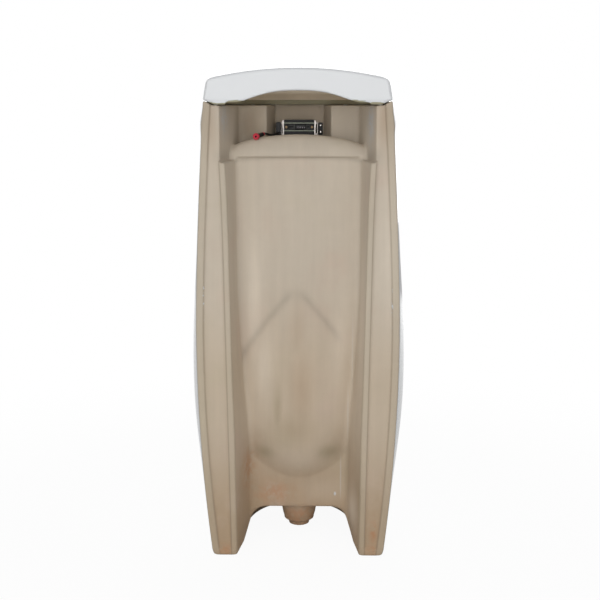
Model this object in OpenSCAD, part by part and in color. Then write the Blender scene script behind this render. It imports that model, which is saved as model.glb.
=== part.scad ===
// Floor standing urinal in vitreous china with a lift-off lid and a built-in
// sensor flush unit. Millimetres, +Z up, the bowl faces -Y, the wall is at +Y.
// The origin is on the floor, below the middle of the bounding box.

/* [China body] */
// Height of the raised edge round the top of the body
body_top = 936; // [900:1:980]
// Depth from the wall to the front of the lip
depth = 385; // [365:1:420]
// Width across the two wings at the wall, at the belly
rear_w = 411; // [400:1:430]
// Width across the feet at the wall
foot_w = 354; // [344:1:366]
// Width across the head at the wall
head_w = 374; // [366:1:384]
// Height at which the body is widest
belly_z = 470; // [430:1:510]
// How far each side swells past the wing edge in front of the wall
belly_flare = 17.5; // [12:0.5:22]
// Depth of the foot at the floor
foot_depth = 338; // [325:1:355]
// Depth of the head
head_depth = 224; // [219:1:234]
// Height of the lip at the front
lip_z = 340; // [320:1:360]
// Thickness of the cast wall
wall = 10; // [8:0.5:12]

/* [Rear recess] */
// Width between the wings at the wall, just above the feet
leg_gap = 254; // [246:1:260]
// Depth of the back panel at its lower edge
panel_low_d = 105; // [98:1:110]
// Depth of the back panel below the vault
panel_top_d = 68; // [62:1:74]
// Height of the lower edge of the back panel
arch_z = 71; // [64:1:80]
// Drop from the top of the body to the shelf under the upper chamber
shelf_drop = 112; // [108:1:118]
// Height of the point of the bowl bulge on the back panel
bulge_top_z = 545; // [520:1:570]
// Height of the lowest point of the bowl bulge
bulge_low_z = 137; // [130:1:150]
// Radius of the bowl bulge in plan
bulge_r = 330; // [300:5:420]
// Depth of the channels in the rear faces of the wings
channel_deep = 5; // [3:0.5:7]
// Width of the outer rim of a wing
outer_rim = 15; // [12:0.5:18]
// Width of the inner rim of a wing
inner_rim = 14; // [11:0.5:16]

/* [Upper chamber] */
// Width of the upper chamber at the wall
chamber_w = 311; // [304:1:316]
// Depth of the front wall of the upper chamber
chamber_d = 130; // [126:1:136]
// Width of the upper chamber at its front wall
chamber_front_w = 252; // [244:1:260]
// Drop from the top of the body to the floor of the upper chamber
floor_drop = 121; // [119:1:124]
// Drop from the top of the body to the crown of the vault
vault_drop = 67; // [62:1:72]
// Width of the sensor niche at its mouth
niche_w = 133; // [128:1:140]
// Width of the sensor niche at its back
niche_back_w = 104; // [100:1:112]
// China left between the back of the niche and the front of the head
niche_wall = 18; // [14:0.5:22]
// Depth of the rebate that the lid drops into
rebate = 9; // [7:0.5:11]
// Width of the sloping edge round the rebate
raised_edge = 17; // [14:0.5:19]

/* [Bowl] */
// Height of the floor of the bowl
bowl_floor = 150; // [147:1:156]
// Drop from the top of the body to the ceiling of the bowl
ceiling_drop = 139; // [136:1:146]
// Half width of the bowl opening
mouth_half = 170; // [160:1:176]
// Drop from the top of the body to the top of the bowl opening
mouth_drop = 160; // [154:1:172]
// Radius of the rolled rim of the opening
rim_r = 11; // [9:0.5:12]

/* [Drain] */
// Depth of the drain axis from the wall
drain_d = 147; // [145:1:152]
// Outer radius of the drain spigot
spigot_r = 22.5; // [21:0.5:24]
// Radius of the waterway through the spigot
waterway_r = 17.5; // [15:0.5:19]
// Height of the end of the spigot above the floor
spigot_end = 19; // [10:1:24]
// Radius of the collar on the spigot
collar_r = 41; // [39:0.5:44]
// Radius of the strainer
strainer_r = 30; // [26:0.5:34]

/* [Lid] */
// Height of the crown of the lid over the top of the body
lid_h = 64; // [56:1:74]
// Fall of the crown from the middle to the sides
lid_crown = 19; // [14:1:24]
// Thickness of the lid
lid_wall = 11; // [9:0.5:12]
// Height of the arch in the rear of the lid above its lower edge
lid_arch = 23; // [18:1:27]
// Thickness of the pads under the lid
pad_t = 1.5; // [1:0.25:2.5]

/* [Sensor unit] */
// Width of the sensor housing
sensor_w = 63; // [58:1:66]
// Height of the sensor housing
sensor_h = 38; // [34:1:40]
// Length of the sensor housing behind the niche wall
sensor_len = 50; // [44:1:56]
// Drop from the top of the body to the middle of the sensor unit
sensor_drop = 58; // [54:1:60]
// Thickness of the steel frame
steel_t = 1.5; // [1:0.1:2]
// Width of the window
window_w = 40; // [34:1:44]
// Height of the window
window_h = 22; // [18:1:24]

/* [Valve] */
// Distance from the front of the head back to the valve axis
valve_back = 58; // [54:1:62]
// Radius of the inlet thread
inlet_r = 10.48; // [10.48:0.01:10.6]
// Radius of the spreader stem
stem_r = 11; // [10:0.25:12]
// Travel of the plunger
plunger_travel = 3; // [2:0.5:4]

/* [Fits] */
// Gap between a pin and its bore
fit = 0.08; // [0.05:0.01:0.1]
// Gap between two pieces that lie against each other
rest = 0.3; // [0.2:0.05:0.4]
// Gap between the china and a piece that passes through it
china_gap = 1; // [0.5:0.25:1.5]

/* [Hidden] */
$fn = 48;

biscuit = "tan";
glaze = "whitesmoke";
steel = "silver";
plastic = "dimgray";
rubber = "black";

rear_y = depth / 2;
seat_z = body_top - rebate;
shelf_z = body_top - shelf_drop;
chamber_floor = body_top - floor_drop;
vault_z = body_top - vault_drop;
bowl_top = body_top - ceiling_drop;
mouth_top = body_top - mouth_drop;
lid_top = body_top + lid_h;
sensor_z = body_top - sensor_drop;
valve_d = head_depth - valve_back;
out = 40;

// ---- small helpers -------------------------------------------------------

// Smooth step from 0 to 1
function ease(t) = let (u = max(0, min(1, t))) u * u * (3 - 2 * u);
// Straight blend of two values
function mix(a, b, t) = a + (b - a) * t;
// Larger of v and 0 with a soft corner of width s
function soft_pos(v, s) = (v + sqrt(v * v + s * s)) / 2;
// Place y for a depth measured from the wall
function at(d) = rear_y - d;

// Ring of points at height z from the right half of an outline, given as
// [x, depth] pairs from the front middle round to the rear
function ring(half, z) = let (
    last = len(half) - 1,
    end = abs(half[last][0]) < 0.001 ? last - 1 : last
) concat(
    [for (p = half) [p[0], at(p[1]), z]],
    [for (i = [end:-1:1]) [-half[i][0], at(half[i][1]), z]]
);

// Closed solid through a stack of rings, lowest first
module skin(rings) {
    n = len(rings[0]);
    top = (len(rings) - 1) * n;
    polyhedron(
        points = [for (r = rings) each r],
        faces = concat(
            [[for (j = [0:n - 1]) j]],
            [for (i = [0:len(rings) - 2], j = [0:n - 1])
                let (a = i * n + j, b = i * n + (j + 1) % n)
                each [[a, a + n, b], [b, a + n, b + n]]],
            [[for (j = [n - 1:-1:0]) top + j]]
        ),
        convexity = 12
    );
}

// Rounded rectangle in the XZ plane, extruded from depth d0 to depth d1
module slab(w, h, r, d0, d1, z) {
    translate([0, at(d1), z])
        rotate([-90, 0, 0])
            linear_extrude(d1 - d0)
                rounded(w, h, r);
}

// Rounded rectangle
module rounded(w, h, r) {
    square([w - 2 * r, h], center = true);
    square([w, h - 2 * r], center = true);
    for (sx = [-1, 1], sy = [-1, 1])
        translate([sx * (w / 2 - r), sy * (h / 2 - r)])
            circle(r, $fn = 24);
}

// Cylinder along Y from depth d0 to depth d1
module rod_y(r, d0, d1, x, z) {
    translate([x, at(d1), z])
        rotate([-90, 0, 0])
            cylinder(h = d1 - d0, r = r);
}

// Cylinder along X from x0 to x1
module rod_x(r, x0, x1, d, z) {
    translate([x0, at(d), z])
        rotate([0, 90, 0])
            cylinder(h = x1 - x0, r = r);
}

// Box between two corners given as [x, depth, z]
module block(a, b) {
    translate([a[0], at(b[1]), a[2]])
        cube([b[0] - a[0], b[1] - a[1], b[2] - a[2]]);
}

// ---- outer form of the body ----------------------------------------------

side_steps = 3;
front_steps = 9;
hollow_steps = 5;
plan_power = 2.3;
head_z = body_top - 86;
edge_r = 4;
sole_r = 6;

// Half width of the body at the wall
function rear_half(z) = z < belly_z
    ? rear_w / 2 - (rear_w - foot_w) / 2 * pow((belly_z - z) / belly_z, 2)
    : rear_w / 2 - (rear_w - head_w) / 2
        * pow((z - belly_z) / (body_top - belly_z), 1.5);
// Swell of the side in front of the wing edge
function flare(z) = let (dz = z - belly_z + 140)
    belly_flare * exp(-pow(dz / (dz < 0 ? 215 : 330), 2))
    + 2.5 * exp(-pow((z - body_top + 43) / 20, 2));
// Depth at which the side turns toward the front
function turn_d(z) = mix(110, edge_r + 4, ease((z - belly_z - 90) / 330));
// Depth of the front on the middle line
function front_d(z) = z < lip_z
    ? mix(foot_depth, depth, ease(z / lip_z))
    : mix(depth, head_depth, ease((z - lip_z) / (head_z - lip_z)));

// Right half of the plan outline at height z, drawn in by t round the sides
// and front and by back at the rear, with n points round the front
function body_half(z, t = 0, n = front_steps, back = undef) = let (
    b = is_undef(back) ? t : back,
    w = rear_half(z) - t,
    wide = w + flare(z),
    d0 = turn_d(z),
    reach = front_d(z) - t - d0,
    e = 2 / plan_power
) concat(
    [for (k = [n:-1:1])
        let (a = 90 * k / n)
        [wide * pow(cos(a), e), d0 + reach * pow(sin(a), e)]],
    [for (k = [side_steps:-1:1])
        let (d = mix(b + edge_r, max(d0, b + edge_r + 1), k / side_steps))
        [w + flare(z) * sin(90 * min(1, d / d0)), d]],
    [[w, b + edge_r], [w - 0.3 * edge_r, b + 0.3 * edge_r], [w - edge_r, b]]
);

outer_levels = [
    for (k = [0:5]) k * lip_z / 6,
    for (k = [0:9]) lip_z + (head_z - lip_z) * k / 9,
    body_top - 62, body_top - 43, body_top - 22,
    body_top - 3
];

module outer_form() {
    skin(concat(
        [ring(body_half(0, sole_r), 0), ring(body_half(0, 0.3 * sole_r), 0.3 * sole_r)],
        [for (z = outer_levels) ring(body_half(z), max(z, sole_r))],
        [ring(body_half(body_top, 2), body_top)]
    ));
}

// ---- rear recess with the bowl bulge --------------------------------------

fillet_steps = 5;
panel_steps = 7;
fillet_len = 26;

// Half width between the wings at the wall
function gap_half(z) = leg_gap / 2 + 0.018 * z
    + 8 * pow(max(0, z - belly_z - 170) / 181, 2.2);
// Depth of the back panel
function panel_d(z) = mix(panel_low_d, panel_top_d, (z - arch_z) / (shelf_z - arch_z))
    - panel_lip(z);
// Half width of the back panel, measured to the corner with the wing
function panel_half(z) = leg_gap / 2 - 25
    + 30 * ease((z - 120) / 440)
    + 12 * ease(1 - z / arch_z);
// Height of the ridge of the bulge over the back panel
bulge_full = 45;
bulge_run = 239;
function ridge(z) = let (drop = max(0, bulge_top_z - z))
    bulge_full * (1 - exp(-pow(drop / bulge_run, 1.4)));
// Half width of the bulge where it runs out on the panel
function bulge_half(z) = sqrt(2 * bulge_r * ridge(z));
// Rise of the lower edge of the bulge at a distance x from the middle
function edge_rise(x) = 72 * pow(min(abs(x), 100) / 91, 2);
// Height of the bulge over the back panel
function bulge(x, z) = let (
    rise = max(0, min(1, (z - bulge_low_z - edge_rise(x)) / 62))
) z >= bulge_top_z ? 0
    : soft_pos(ridge(z) - x * x / (2 * bulge_r), 1.2) * (1 - pow(1 - rise, 2));
// How far the lower edge of the panel turns out toward the wall
function panel_lip(z) = 7 * ease((108 - z) / 30);

// Right half of the recess outline at height z, grown by t, with n points
// across the panel and m round the fillet
function recess_half(z, t = 0, n = panel_steps, m = fillet_steps) = let (
    wg = gap_half(z) + t,
    wp = panel_half(z) + t,
    dp = panel_d(z) + t,
    slope = norm([wg - wp, dp]),
    f = fillet_len + 12 * ease(1 - (z - 60) / 300),
    t1 = [wp + (wg - wp) * f / slope, dp - dp * f / slope],
    t2 = [wp - f, dp],
    edge = max(0.3 * t2[0], min(0.9 * t2[0], bulge_half(z))),
    inner = floor(n * 0.6)
) concat(
    [for (k = [0:inner]) [edge * k / inner, dp]],
    [for (k = [1:n - 1 - inner]) [mix(edge, t2[0], k / (n - inner)), dp]],
    [for (k = [0:m])
        let (s = k / m)
        [(1 - s) * (1 - s) * t2[0] + 2 * s * (1 - s) * wp + s * s * t1[0],
         (1 - s) * (1 - s) * t2[1] + 2 * s * (1 - s) * dp + s * s * t1[1]]],
    [[mix(wg, t1[0], 0.5), t1[1] / 2], [wg, 0], [wg, -out]]
);

// How far a ring of the recess follows the lower edge of the bulge
function follow(z) = z < bulge_low_z
    ? ease((z - 108) / (bulge_low_z - 108))
    : ease(1 - (z - bulge_low_z - 62) / 180);
// Ring of the recess, lifted along the edge of the bulge and pressed in by it
function recess_ring(z, t = 0, n = panel_steps, m = fillet_steps) = [
    for (p = ring(recess_half(z, t, n, m), z))
        let (
            h = z + follow(z) * edge_rise(p[0]),
            d = rear_y - p[1],
            share = max(0, d) / (panel_d(z) + t)
        )
        [p[0], at(d - bulge(p[0], h) * share), h]
];

recess_levels = [
    -1, arch_z * 0.5, arch_z, 80, 92, 108,
    for (k = [0:5]) bulge_low_z + 62 * k / 5,
    for (k = [1:6]) mix(bulge_low_z + 62, bulge_top_z - 30, k / 6),
    bulge_top_z - 12,
    for (k = [0:3]) mix(bulge_top_z, shelf_z, k / 3)
];

module recess() {
    skin([for (z = recess_levels) recess_ring(z)]);
}

// ---- space under the bowl ---------------------------------------------------

pedestal_wall = 16;
pedestal_top = bowl_floor - 14;

// Right half of the outline of the space under the bowl
function under_half(z, t = 0) = let (
    w = leg_gap / 2 - 9 + t - 4 * z / pedestal_top,
    far = front_d(0) - pedestal_wall + t - 10 * z / pedestal_top,
    mid = 120
) concat(
    [for (k = [7:-1:0])
        let (a = 90 * k / 7)
        [w * pow(cos(a), 0.8), mid + (far - mid) * pow(sin(a), 0.8)]],
    [[w, min(panel_low_d + wall - t, mid - 2)]]
);

module under_space(t = 0) {
    skin([for (z = [-1, pedestal_top * 0.5, pedestal_top - 8]) ring(under_half(z, t), z),
        ring(under_half(pedestal_top, t - 8), pedestal_top + t)]);
}

// Way through below the back panel, an arch between the legs
module leg_arch(t = 0) {
    foot = leg_gap / 2 - 9 + t;
    top = arch_z + t;
    knee = [leg_gap / 2 - 27 + t, arch_z * 0.66];
    crown = [leg_gap / 2 - 72 + t, top];
    corner = [mix(foot, knee[0], 1.45), top - 1];
    side = concat(
        [[foot + 4, -15]],
        [for (k = [0:6])
            let (u = k / 6)
            (1 - u) * (1 - u) * knee + 2 * u * (1 - u) * corner + u * u * crown]
    );
    translate([0, at(panel_low_d - 60), 0])
        rotate([90, 0, 0])
            linear_extrude(72 + wall + t)
                polygon(concat(side, [for (k = [len(side) - 1:-1:0]) [-side[k][0], side[k][1]]]));
}

// ---- bowl -------------------------------------------------------------------

bowl_mid = 0.42;
sump = 50;
sump_half = 44;
spreader_r = 25;
spreader_room = 3;
// How far the top of the rear wall leans forward, to meet the ceiling behind the spreader
bowl_lean = valve_d - spreader_r - spreader_room - panel_top_d - wall;

// Half width of the bowl at height z
function bowl_half(z) = let (
    u = (z - bowl_floor) / (bowl_top - bowl_floor)
) (mouth_half + 6) * pow(max(0, 1 - pow(max(0, 1 - u / 0.5), 2.6)), 0.55)
    * pow(max(0, 1 - pow(max(0, (u - 0.5) / 0.5), 5)), 0.5);
// Depth of the rear wall of the bowl on the middle line
function bowl_rear(z) = panel_d(z) - bulge(0, z) * ease((z - bowl_floor) / 80) + wall
    + panel_lip(z) + bowl_lean * pow(ease((z - bowl_top + 90) / 90), 2);
// Depth of the front wall of the bowl on the middle line
function bowl_front(z) = min(front_d(z) - 2 * rim_r,
    mix(drain_d + sump, front_d(lip_z) - 2 * rim_r, ease((z - bowl_floor + 20) / 210)));

// Right half of the bowl outline at height z, grown by t, with n points a quarter
function bowl_outline(z, t = 0, n = 7) = let (
    w = max(sump_half, bowl_half(z)) + t,
    near = bowl_rear(z) - t,
    far = bowl_front(z) + t,
    mid = mix(near, far, bowl_mid)
) concat(
    [for (k = [n:-1:0])
        let (a = 90 * k / n)
        [w * pow(cos(a), 0.85), mid + (far - mid) * pow(sin(a), 0.85)]],
    [for (k = [1:n])
        let (a = 90 * k / n)
        [w * pow(cos(a), 0.8), mid - (mid - near) * pow(sin(a), 0.8)]]
);

bowl_levels = [
    for (k = [0, 0.02, 0.06, 0.12, 0.19, 0.28, 0.4, 0.54, 0.68, 0.8, 0.89, 0.95, 1])
        mix(bowl_floor, bowl_top, k)
];

module bowl_space(t = 0, n = 7) {
    last = len(bowl_levels) - 1;
    skin([for (i = [0:last])
        ring(bowl_outline(bowl_levels[i], t, n),
            bowl_levels[i] + (i == 0 ? -t : i == last ? t : 0))]);
}

// Half width of the opening at height z, egg shaped
mouth_low = lip_z + 14;
mouth_mid = mix(mouth_low, mouth_top, 0.5);
function mouth_x(a) = mouth_half * (sin(a) < 0
    ? pow(abs(cos(a)), 0.86) : pow(abs(cos(a)), 0.8)) * (cos(a) < 0 ? -1 : 1);
function mouth_z(a) = sin(a) < 0
    ? mouth_mid - (mouth_mid - mouth_low) * pow(-sin(a), 0.9)
    : mouth_mid + (mouth_top - mouth_mid) * pow(sin(a), 0.8);

mouth_steps = 40;

module mouth_cut() {
    translate([0, at(head_depth * 0.62), 0])
        rotate([90, 0, 0])
            linear_extrude(depth)
                polygon([for (k = [0:mouth_steps - 1])
                    let (a = 360 * k / mouth_steps)
                    [mouth_x(a), mouth_z(a)]]);
}

// Depth of the outer form at a place on the front, drawn in by t
function skin_d(x, z, t = 0) = let (
    w = rear_half(z) + flare(z) - t,
    d0 = turn_d(z)
) d0 + (front_d(z) - t - d0) * pow(max(0, 1 - pow(abs(x) / w, plan_power)), 1 / plan_power);

// Rolled rim swept round the opening
module rolled_rim() {
    sides = 8;
    path = [for (k = [0:mouth_steps - 1])
        let (a = 360 * k / mouth_steps, x = mouth_x(a), z = mouth_z(a))
        [x, skin_d(x, z) - rim_r, z]];
    rings = [for (k = [0:mouth_steps - 1])
        let (
            p = path[k],
            q = path[(k + 1) % mouth_steps],
            o = path[(k + mouth_steps - 1) % mouth_steps],
            along = (q - o) / norm(q - o),
            outward = [0, 1, 0] - along * along[1],
            u = outward / norm(outward),
            v = cross(along, u)
        )
        [for (j = [0:sides - 1])
            let (b = 360 * j / sides, s = p + rim_r * (cos(b) * u + sin(b) * v))
            [s[0], at(s[1]), s[2]]]];
    n = sides;
    m = mouth_steps;
    polyhedron(
        points = [for (r = rings) each r],
        faces = [for (i = [0:m - 1], j = [0:n - 1])
            let (
                a = i * n + j,
                b = i * n + (j + 1) % n,
                c = ((i + 1) % m) * n + j,
                d = ((i + 1) % m) * n + (j + 1) % n
            )
            each [[a, b, c], [b, d, c]]],
        convexity = 12
    );
}

// ---- upper chamber ------------------------------------------------------------

niche_back_d = head_depth - niche_wall;
crest_d = 90;

// Right half of the plan of the upper chamber
function chamber_half(t = 0) = let (
    wr = chamber_w / 2 + t,
    wf = chamber_front_w / 2 + t,
    d = chamber_d + t,
    r = 12
) [
    [0, d], [wf - r, d], [wf - 0.3 * r, d - 0.3 * r],
    [mix(wf, wr, r / d), d - r], [wr, 0], [wr, -out]
];

module chamber(t = 0) {
    skin([
        ring(chamber_half(t), chamber_floor - t),
        ring(chamber_half(t), body_top + out)
    ]);
    skin([
        ring(niche_half(t), chamber_floor - t),
        ring(niche_half(t), body_top + out)
    ]);
}

function niche_half(t = 0) = [
    [0, niche_back_d + t], [niche_back_w / 2 + t, niche_back_d + t],
    [niche_w / 2 + t, chamber_d + t / 2], [niche_w / 2 + t, chamber_d - 20]
];

// Crown height of the vault across its width
function crest_z(x) = vault_z - 17 * pow(x / 131, 2);

// Vault that closes the top of the back panel, one profile swept across X
module vault() {
    half = chamber_w / 2 + 5;
    rise_d = panel_top_d - 3;
    stations = [for (k = [-6:6]) half * k / 6];
    skin_x([for (x = stations)
        let (top = crest_z(x), low = chamber_floor - 15)
        [for (p = concat(
            [[rise_d + 4, low], [rise_d + 3, shelf_z - 3], [rise_d, shelf_z]],
            [for (k = [1:5])
                let (a = 90 * k / 5)
                [crest_d - (crest_d - rise_d) * pow(cos(a), 0.8),
                 shelf_z + (top - shelf_z) * pow(sin(a), 0.9)]],
            [[crest_d + 5, top - 1.5], [crest_d + 10, top - 8],
             [crest_d + 15, chamber_floor + 8], [crest_d + 22, chamber_floor], [crest_d + 22, low]]
        )) [x, at(p[0]), p[1]]]]);
    block([-half, -out - 5, chamber_floor - 15], [half, rise_d + 4, shelf_z - 2]);
}

// Closed solid through a row of profiles, lowest x first
module skin_x(rings) {
    n = len(rings[0]);
    top = (len(rings) - 1) * n;
    polyhedron(
        points = [for (r = rings) each r],
        faces = concat(
            [[for (j = [0:n - 1]) j]],
            [for (i = [0:len(rings) - 2], j = [0:n - 1])
                let (a = i * n + j, b = i * n + (j + 1) % n)
                each [[a, a + n, b], [b, a + n, b + n]]],
            [[for (j = [n - 1:-1:0]) top + j]]
        ),
        convexity = 12
    );
}

// ---- hollow between the two skins ----------------------------------------------

hollow_low = 14;
hollow_top = seat_z - wall;
hollow_levels = [
    hollow_low, 90, 180, 270,
    for (k = [0:8]) mix(lip_z, hollow_top, k / 8)
];

// The back panel and the rear of the bowl are one wall out to web_half
web_half = leg_gap / 2 - 9;
web_d = 135;

module wall_hollow() {
    difference() {
        skin([for (z = hollow_levels) ring(body_half(z, wall, hollow_steps), z)]);
        skin([for (z = [-1, 108, 137, 160, 199, 280, 400, 520, 640, shelf_z + wall])
            recess_ring(z, wall, 5, 2)]);
        bowl_space(wall, 4);
        under_space(wall);
        leg_arch(wall);
        mouth_guard();
        chamber(wall);
        block([-rear_w, -out, -out], [rear_w, channel_deep + wall, body_top]);
        block([-web_half, -out, -out], [web_half, web_d, bowl_top]);
        block([-niche_w / 2 - wall, chamber_d, shelf_z - 40], [niche_w / 2 + wall, depth, body_top]);
    }
}

// China left solid round the opening
module mouth_guard() {
    grow = rim_r + 8;
    translate([0, at(head_depth * 0.62 - 40), 0])
        rotate([90, 0, 0])
            linear_extrude(depth)
                polygon([for (k = [0:mouth_steps - 1])
                    let (a = 360 * k / mouth_steps)
                    [mouth_x(a) + grow * cos(a), mouth_z(a) + grow * sin(a)]]);
}

// Slip holes in the soles, which drain the hollow after casting
module slip_holes() {
    for (s = [-1, 1])
        translate([s * (foot_w + leg_gap) / 4, at(45), -1])
            cylinder(h = 20, r = 8, $fn = 16);
}

// ---- channels in the rear faces of the wings -------------------------------------

channel_levels = [16, 60, 160, 280, 400, for (k = [0:3]) mix(520, shelf_z - 4, k / 3)];

module channels() {
    for (s = [0, 1])
        mirror([s, 0, 0])
            skin([for (z = channel_levels)
                let (
                    a = gap_half(z) + inner_rim,
                    b = rear_half(z) - outer_rim
                )
                [[a, at(-1), z], [a + 3, at(channel_deep), z],
                 [b - 1.5, at(channel_deep), z], [b, at(-1), z]]]);
    for (s = [0, 1])
        mirror([s, 0, 0])
            skin([for (k = [0:3])
                let (
                    z = mix(shelf_z - 5, body_top + 1, k / 3),
                    a = chamber_w / 2 - 6,
                    b = rear_half(z) - outer_rim + 2
                )
                [[a, at(-1), z], [a, at(channel_deep), z],
                 [b - 1.5, at(channel_deep), z], [b, at(-1), z]]]);
}

// Rebate that the lid drops into, open at the rear
module lid_rebate() {
    half = head_w / 2;
    skin([
        ring(body_half(body_top, raised_edge), seat_z),
        ring(body_half(body_top, 2.5), body_top - 0.5),
        ring(body_half(body_top, 2.5), body_top + 5)
    ]);
    translate([0, at(-out), 0])
        rotate([90, 0, 0])
            linear_extrude(out + raised_edge + 12)
                polygon([
                    [raised_edge - half, seat_z], [half - raised_edge, seat_z],
                    [half - 2.5, body_top - 0.5], [half - 2.5, body_top + 5],
                    [2.5 - half, body_top + 5], [2.5 - half, body_top - 0.5]
                ]);
}

// ---- china body ----------------------------------------------------------------

drain_seat_t = 6;
collar_z = spigot_end + 44;
nose_w = window_w + 6;
nose_h = window_h + 6;

// Everything of the body that is cast to a free form
module casting() {
    difference() {
        union() {
            difference() {
                outer_form();
                recess();
                difference() {
                    chamber();
                    vault();
                }
                under_space();
                leg_arch();
                bowl_space();
                mouth_cut();
                lid_rebate();
            }
            rolled_rim();
        }
        wall_hollow();
        channels();
        slip_holes();
        slab(nose_w, nose_h, 6, niche_back_d - 2, depth, sensor_z);
        slab(nose_w + 14, nose_h + 14, 9, head_depth - 2.5, depth, sensor_z);
    }
}

// Drain outlet below the bowl
module spigot() {
    translate([0, at(drain_d), 0])
        rotate_extrude($fn = 64)
            polygon([
                [0, spigot_end], [spigot_r - 2, spigot_end], [spigot_r, spigot_end + 2],
                [spigot_r, spigot_end + 9], [spigot_r + 4, spigot_end + 11],
                [collar_r - 6, spigot_end + 17], [collar_r - 5, spigot_end + 20],
                [collar_r - 5, spigot_end + 25], [collar_r, spigot_end + 28],
                [collar_r, collar_z], [collar_r - 6, collar_z + 6],
                [collar_r - 6, pedestal_top + 4], [0, pedestal_top + 4]
            ]);
}

module china_body() {
    color(biscuit)
        difference() {
            union() {
                resize([0, 0, 0])
                    casting();
                spigot();
            }
            translate([0, at(drain_d), spigot_end - 1])
                cylinder(h = bowl_floor + 20 - spigot_end, r = waterway_r);
            translate([0, at(drain_d), bowl_floor - drain_seat_t])
                cylinder(h = 30, r = strainer_r + china_gap);
            translate([0, at(valve_d), bowl_top - 5])
                cylinder(h = chamber_floor - bowl_top + 10, r = stem_r + china_gap);
            for (s = [-1, 1])
                rod_y(screw_r + fit, niche_back_d - 5, niche_back_d + 10,
                    frame_screw_x, sensor_z + s * screw_pitch / 2);
        }
}

// ---- lid ------------------------------------------------------------------------

lid_low = body_top + pad_t;
lid_lip = seat_z + pad_t;
lid_pivot_d = 50;
lid_foot = raised_edge + 4;
lid_inset = lid_foot + 9;

// One ring of the lid shell: outline drawn in by t, scaled by q about a line near
// the wall, at height z less the fall of the crown times c
function lid_ring(t, q, z, c) = [
    for (p = ring(body_half(body_top, t, front_steps, min(t, lid_wall)), z))
        let (x = p[0] * q, y = mix(at(lid_pivot_d), p[1], q))
        [x, y, z - c * lid_crown * pow(x / (0.46 * head_w), 2)]
];

module lid_dome(t, low, top) {
    side = top - low;
    skin([
        lid_ring(t, 1, low, 0),
        lid_ring(t, 0.982, low + 0.37 * side, 0.1),
        lid_ring(t, 0.972, low + 0.62 * side, 0.4),
        lid_ring(t, 0.965, low + 0.83 * side, 0.8),
        lid_ring(t, 0.95, low + 0.93 * side, 0.97),
        lid_ring(t, 0.92, low + 0.98 * side, 1),
        lid_ring(t, 0.8, low + 0.995 * side, 1),
        lid_ring(t, 0.6, top, 1),
        lid_ring(t, 0.35, top, 1),
        lid_ring(t, 0.01, top, 1)
    ]);
}

// Arch through the rear of the lid, with a low shoulder on each side
module lid_notch() {
    half = 0.326 * head_w;
    shoulder = half + 19;
    rise = 4;
    steps = 12;
    translate([0, at(-out), 0])
        rotate([90, 0, 0])
            linear_extrude(out + 60)
                polygon(concat(
                    [[-shoulder - 3, lid_lip - 20], [-shoulder - 3, lid_lip - 0.5],
                     [-shoulder, lid_lip + rise]],
                    [for (k = [-steps:steps])
                        let (u = k / steps)
                        [half * u, lid_lip + rise + lid_arch * pow(1 - pow(abs(u), 2.6), 1.5)]],
                    [[shoulder, lid_lip + rise],
                     [shoulder + 3, lid_lip - 0.5], [shoulder + 3, lid_lip - 20]]
                ));
}

module china_lid() {
    color(glaze)
        resize([0, 0, 0])
            difference() {
                union() {
                    lid_dome(0, lid_low, lid_top);
                    skin([
                        ring(body_half(body_top, lid_foot, front_steps, 0.3), lid_lip),
                        ring(body_half(body_top, 0.5, front_steps, 0.3), lid_low),
                        ring(body_half(body_top, 2, front_steps, 2), lid_low + 8)
                    ]);
                }
                skin([
                    ring(body_half(body_top, lid_inset, front_steps, lid_wall), lid_lip - 1),
                    ring(body_half(body_top, lid_inset, front_steps, lid_wall), lid_low),
                    ring(body_half(body_top, lid_wall, front_steps, lid_wall), lid_low + 14),
                    ring(body_half(body_top, lid_wall + 4, front_steps, lid_wall + 1), lid_low + 18)
                ]);
                lid_dome(lid_wall, lid_low + 14, lid_top - lid_wall);
                lid_notch();
            }
}

// Four silicone pads on the seat, under the foot of the lid
module lid_pads() {
    inset = mix(lid_foot, lid_inset, 0.5);
    front_x = niche_w / 2 + 30;
    places = [
        [head_w / 2 - inset, 16],
        [front_x, skin_d(front_x, body_top, inset)]
    ];
    color(rubber)
        for (p = places, s = [-1, 1])
            translate([s * p[0], at(p[1]), seat_z])
                cylinder(h = pad_t, r = 4, $fn = 24);
}

// ---- sensor unit -----------------------------------------------------------------

// The housing lies against the back of the niche and its nose passes through
// the head; the steel frame is a cradle round it with a flange on each side.
body_front = niche_back_d - rest;
body_rear = body_front - sensor_len;
cradle_half = sensor_w / 2 + rest + steel_t;
bezel_d = head_depth - 2.5;
gasket_t = 1;
flange_w = 16;
block_t = 4;
screw_r = 2;
screw_pitch = 14;
frame_screw_x = -(cradle_half + flange_w - 4.5);
cover_t = 4;
cover_screw_x = sensor_w / 2 - 4.5;
slot_z = sensor_z + 4;

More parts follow.
